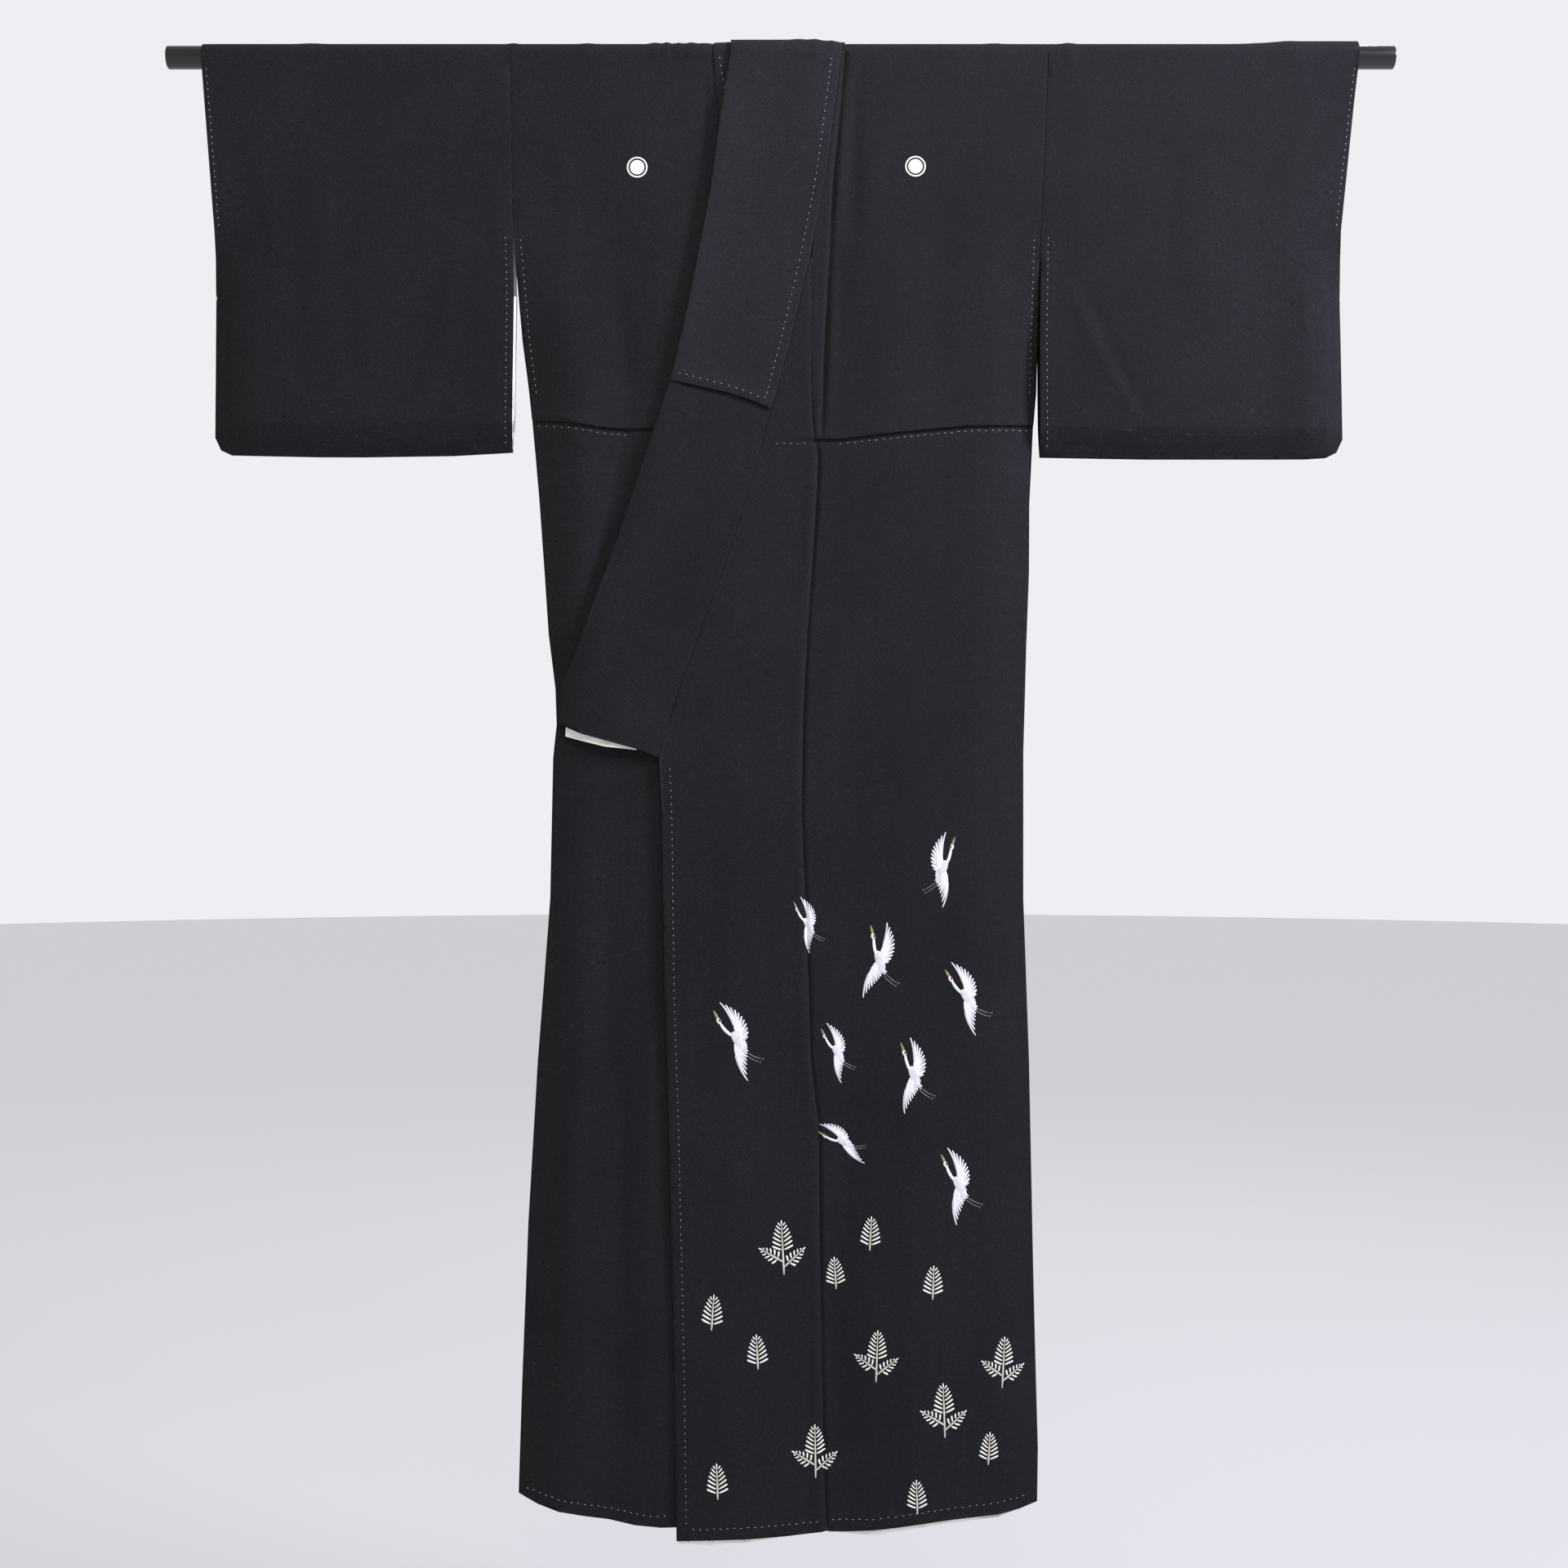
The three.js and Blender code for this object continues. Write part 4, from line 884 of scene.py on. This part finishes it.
def sprig(form, foot, aim, stalk, pairs, reach):
    """A stem, bare for the length of its stalk, with pairs of blunt needles that lean up and shorten."""
    aim = math.radians(aim)
    ahead, side = Vector((math.sin(aim), math.cos(aim))), Vector((math.cos(aim), -math.sin(aim)))
    foot = Vector(foot)
    last = foot + ahead * (stalk + NEEDLE_GAP * (pairs - 0.4))
    made = leaf(form, foot, last, 2.2, taper=0.5, full=0.35, lift=0.16, finish=1)
    for pair in range(pairs):
        share = pair / (pairs - 1)
        lean = math.radians(NEEDLE_LEAN[0] + NEEDLE_LEAN[1] * share)
        long = reach * (1 - 0.5 * share ** 2.2)
        start = foot + ahead * (stalk + NEEDLE_GAP * pair)
        for hand in (-1, 1):
            out = side * hand * math.cos(lean) + ahead * math.sin(lean)
            made += leaf(
                form, start + out * 1.6, start + out * long, NEEDLE_GAP * NEEDLE_SHARE * math.cos(lean),
                bend=0.3 * hand, taper=-0.25, full=0.4, sides=6, steps=6,
            )
    made += leaf(form, last - ahead * 0.5, last + ahead * 5.0, 1.9, taper=0.1, full=0.5, sides=6, steps=6)
    return made


pine_threads = [
    stitched("silver_thread_cream", "#fffffa", "#ece8dc", spacing=0.6, gloss=0.38),
    stitched("silver_thread_stem", "#f4f0e4", "#aaa58f", spacing=0.6, gloss=0.38),
]
for number, row in enumerate(PINES, start=1):
    form = bmesh.new()
    behind = row.get("behind", False)
    made = []
    for branch in THREE if row.get("three") else SINGLE:
        made += sprig(form, **branch)
    place_on(form, made, row)
    if behind:
        bmesh.ops.scale(form, verts=form.verts, vec=(1, -1, 1))
    worked(f"pine_{number}", form, behind, "silver_thread", *pine_threads)

# ---- Tacking stitches: loose white thread that still holds the pressed edges of a new kimono flat. It
# shows as small even dashes a few millimetres inside each edge.
STITCH = {"long": 2.3, "wide": 0.75, "rise": 0.3, "apart": 7.6, "above": 0.12, "wander": 0.35, "turn": 0.08}
LAPEL_SEAM = [(67, -4), (62.4, -38), (53.6, -107), (46.6, -151), (32.2, -225), (11, -316), (-4, -372)]
SLEEVE_EDGE_RIGHT = [(-303.5, -200), (-302, -268), (-304.5, -432)]
SLEEVE_EDGE_LEFT = [(295, -200), (293.5, -316), (294.5, -436)]
TACKED = table("name line behind", [  # lines as (place across, height)
    ("cuff_right", [(-634, -14), (-619.6, -193)]),
    ("cuff_left", [(632.5, -14), (612.5, -193)]),
    ("sleeve_edge_right", SLEEVE_EDGE_RIGHT),
    ("sleeve_edge_left", SLEEVE_EDGE_LEFT),
    ("body_edge_right", [(-287.5, -203), (-284, -240), (-278, -316), (-270.5, -376)]),
    ("body_edge_left", [(279.5, -203), (275.5, -376)]),
    ("collar_seam", [(x - 10.5, z) for x, z in LAPEL_SEAM] + [(-18, -383)]),
    ("collar_end", [(-115, -353.4), (-77, -362.5), (-45, -371), (-21, -381)]),
    ("under_collar", [(-68, -2), (-62, -42)]),
    ("tuck_right", [(-272, -409), (-238, -412), (-190, -419.5), (-168, -420.5)]),
    ("tuck_left", [(62, -431), (133, -424), (207, -416.5), (276, -414.5)]),
    ("tuck_overlap", [(-8, -430.5), (30, -431)]),
    ("front_edge", [
        (-122, -786), (-120, -840), (-117.6, -1030), (-112.6, -1184), (-106, -1472), (-104, -1624),
    ]),
    ("hem_overlap", [(-100, -1627), (-17, -1624), (44, -1619.5)]),
    ("hem_left", [
        (54, -1617.5), (98, -1617.5), (139, -1612), (173, -1606.5), (236, -1600.5), (272, -1593),
    ]),
    ("hem_right", [(-284, -1584), (-242, -1597), (-183, -1606.5), (-148, -1614), (-124, -1613.5)]),
    ("hem_back", [
        (-282, -1582), (-240, -1590), (-120, -1597), (0, -1598), (120, -1597), (240, -1592), (276, -1589),
    ], True),
    ("tuck_back_right", [(-272, -409), (-190, -419.5), (-8, -420)], True),
    ("tuck_back_left", [(8, -428), (62, -431), (133, -424), (276, -414.5)], True),
    ("back_sleeve_edge_right", SLEEVE_EDGE_RIGHT, True),
    ("back_sleeve_edge_left", SLEEVE_EDGE_LEFT, True),
])


def cotton():
    """Soft-spun tacking thread: dull off-white, dusty from the cloth, with a fine twist."""
    material, output = bare_material("cotton_tacking_thread")
    place = add_node(material, "ShaderNodeTexCoord").outputs["Object"]
    twist = add_node(material, "ShaderNodeTexNoise", {"Vector": place, "Scale": 1400, "Detail": 2})
    tone = add_node(material, "ShaderNodeMix", {
        "Factor": twist.outputs["Fac"], "A": linear("#6f6f72"), "B": linear("#b9b9bb"),
    }, data_type="RGBA")
    bump = add_node(material, "ShaderNodeBump", {
        "Height": twist.outputs["Fac"], "Strength": 0.4, "Distance": 0.0002,
    })
    return finished(material, output, add_node(material, "ShaderNodeBsdfPrincipled", {
        "Base Color": tone.outputs["Result"], "Roughness": 0.8, "Normal": bump.outputs["Normal"],
    }))


tacking_thread = cotton()
poles_along = Matrix.Rotation(math.pi / 2, 4, "Y")
bead = Matrix.Diagonal((STITCH["long"] / 2, STITCH["rise"], STITCH["wide"] / 2, 1)) @ poles_along
for row in TACKED:
    form = bmesh.new()
    for (x0, z0), (x1, z1) in zip(row["line"], row["line"][1:]):
        count = max(1, round(math.hypot(x1 - x0, z1 - z0) / STITCH["apart"]))
        slope = math.atan2(z1 - z0, x1 - x0)
        for number in range(count):
            share = (number + 0.5) / count
            wander = STITCH["wander"] * math.sin(number * 2.4 + x0)
            x, z = x0 + (x1 - x0) * share, z0 + (z1 - z0) * share + wander
            turn = Matrix.Rotation(STITCH["turn"] * wander - slope, 4, "Y")
            place = Matrix.Translation((x, STITCH["above"], z))
            bmesh.ops.create_uvsphere(form, u_segments=6, v_segments=4, radius=1, matrix=place @ turn @ bead)
    worked("tacking_" + row["name"], form, row.get("behind", False), "basting_thread", tacking_thread)

# ---- Floor, lights and camera. The floor is pale and plain; the light is soft, strongest from the
# upper right, as from a window and a ceiling.
FLOOR_HEIGHT = -1820
FLOOR_RADIUS = 14  # metres
VIEW_DISTANCE = 2300  # from the garment's front
VIEW_WIDTH = 1728  # millimetres across the garment's front at the picture's edges
VIEW_MIDDLE = (3.6, -806)
SENSOR = 36

ground = bmesh.new()
bmesh.ops.create_circle(ground, cap_ends=True, segments=96, radius=FLOOR_RADIUS)
bmesh.ops.translate(ground, verts=ground.verts, vec=(0, 0, FLOOR_HEIGHT * MM))
floor_paint, output = bare_material("matt_floor_paint")
finished(floor_paint, output, add_node(floor_paint, "ShaderNodeBsdfPrincipled", {
    "Base Color": linear("#6b6a70"), "Roughness": 0.9,
    "Emission Color": linear("#f6f5fa"), "Emission Strength": 0.57,
}))
floor = shown("floor", ground, floor_paint)

world = bpy.data.worlds.new("pale_room")
world.use_nodes = True
room = world.node_tree
seen = room.nodes.new("ShaderNodeBackground")
seen.inputs["Color"].default_value = linear("#efeef3")
cast = room.nodes["Background"]
cast.inputs["Color"].default_value = linear("#fbf8f3")
cast.inputs["Strength"].default_value = 0.46
either = room.nodes.new("ShaderNodeMixShader")
room.links.new(room.nodes.new("ShaderNodeLightPath").outputs["Is Camera Ray"], either.inputs["Fac"])
room.links.new(cast.outputs["Background"], either.inputs[1])
room.links.new(seen.outputs["Background"], either.inputs[2])
room.links.new(either.outputs["Shader"], room.nodes["World Output"].inputs["Surface"])
bpy.context.scene.world = world
bpy.context.scene.view_settings.view_transform = "Standard"


def soft_light(name, place, target, size, power, tint):
    lamp = bpy.data.lights.new(name, "AREA")
    lamp.shape = "RECTANGLE"
    lamp.size, lamp.size_y = size
    lamp.energy = power
    lamp.color = linear(tint)[:3]
    light = bpy.data.objects.new(name, lamp)
    light.location = place
    light.rotation_euler = (Vector(target) - Vector(place)).to_track_quat("-Z", "Y").to_euler()
    bpy.context.collection.objects.link(light)


soft_light("window_right", (2.5, -1.15, 1.0), (0.0, 0, -0.8), (0.7, 0.7), 150, "#e2e8ff")
soft_light("ceiling_front", (0.2, -2.0, 1.6), (0, 0, -0.3), (1.4, 0.7), 36, "#fff9f2")
soft_light("room_left", (-2.8, -1.6, 0.0), (-0.2, 0, -0.8), (1.2, 1.8), 5, "#fff0dd")
soft_light("behind", (0.6, 2.4, 1.2), (0, 0, -0.7), (1.6, 1.0), 60, "#ffffff")

view = bpy.data.cameras.new("camera")
view.sensor_width = SENSOR
view.lens = SENSOR * VIEW_DISTANCE / VIEW_WIDTH
camera = bpy.data.objects.new("camera", view)
camera.location = (VIEW_MIDDLE[0] * MM, -(VIEW_DISTANCE + CLOTH_DEPTH) * MM, VIEW_MIDDLE[1] * MM)
camera.rotation_euler = (math.pi / 2, 0, 0)
bpy.context.collection.objects.link(camera)
bpy.context.scene.camera = camera
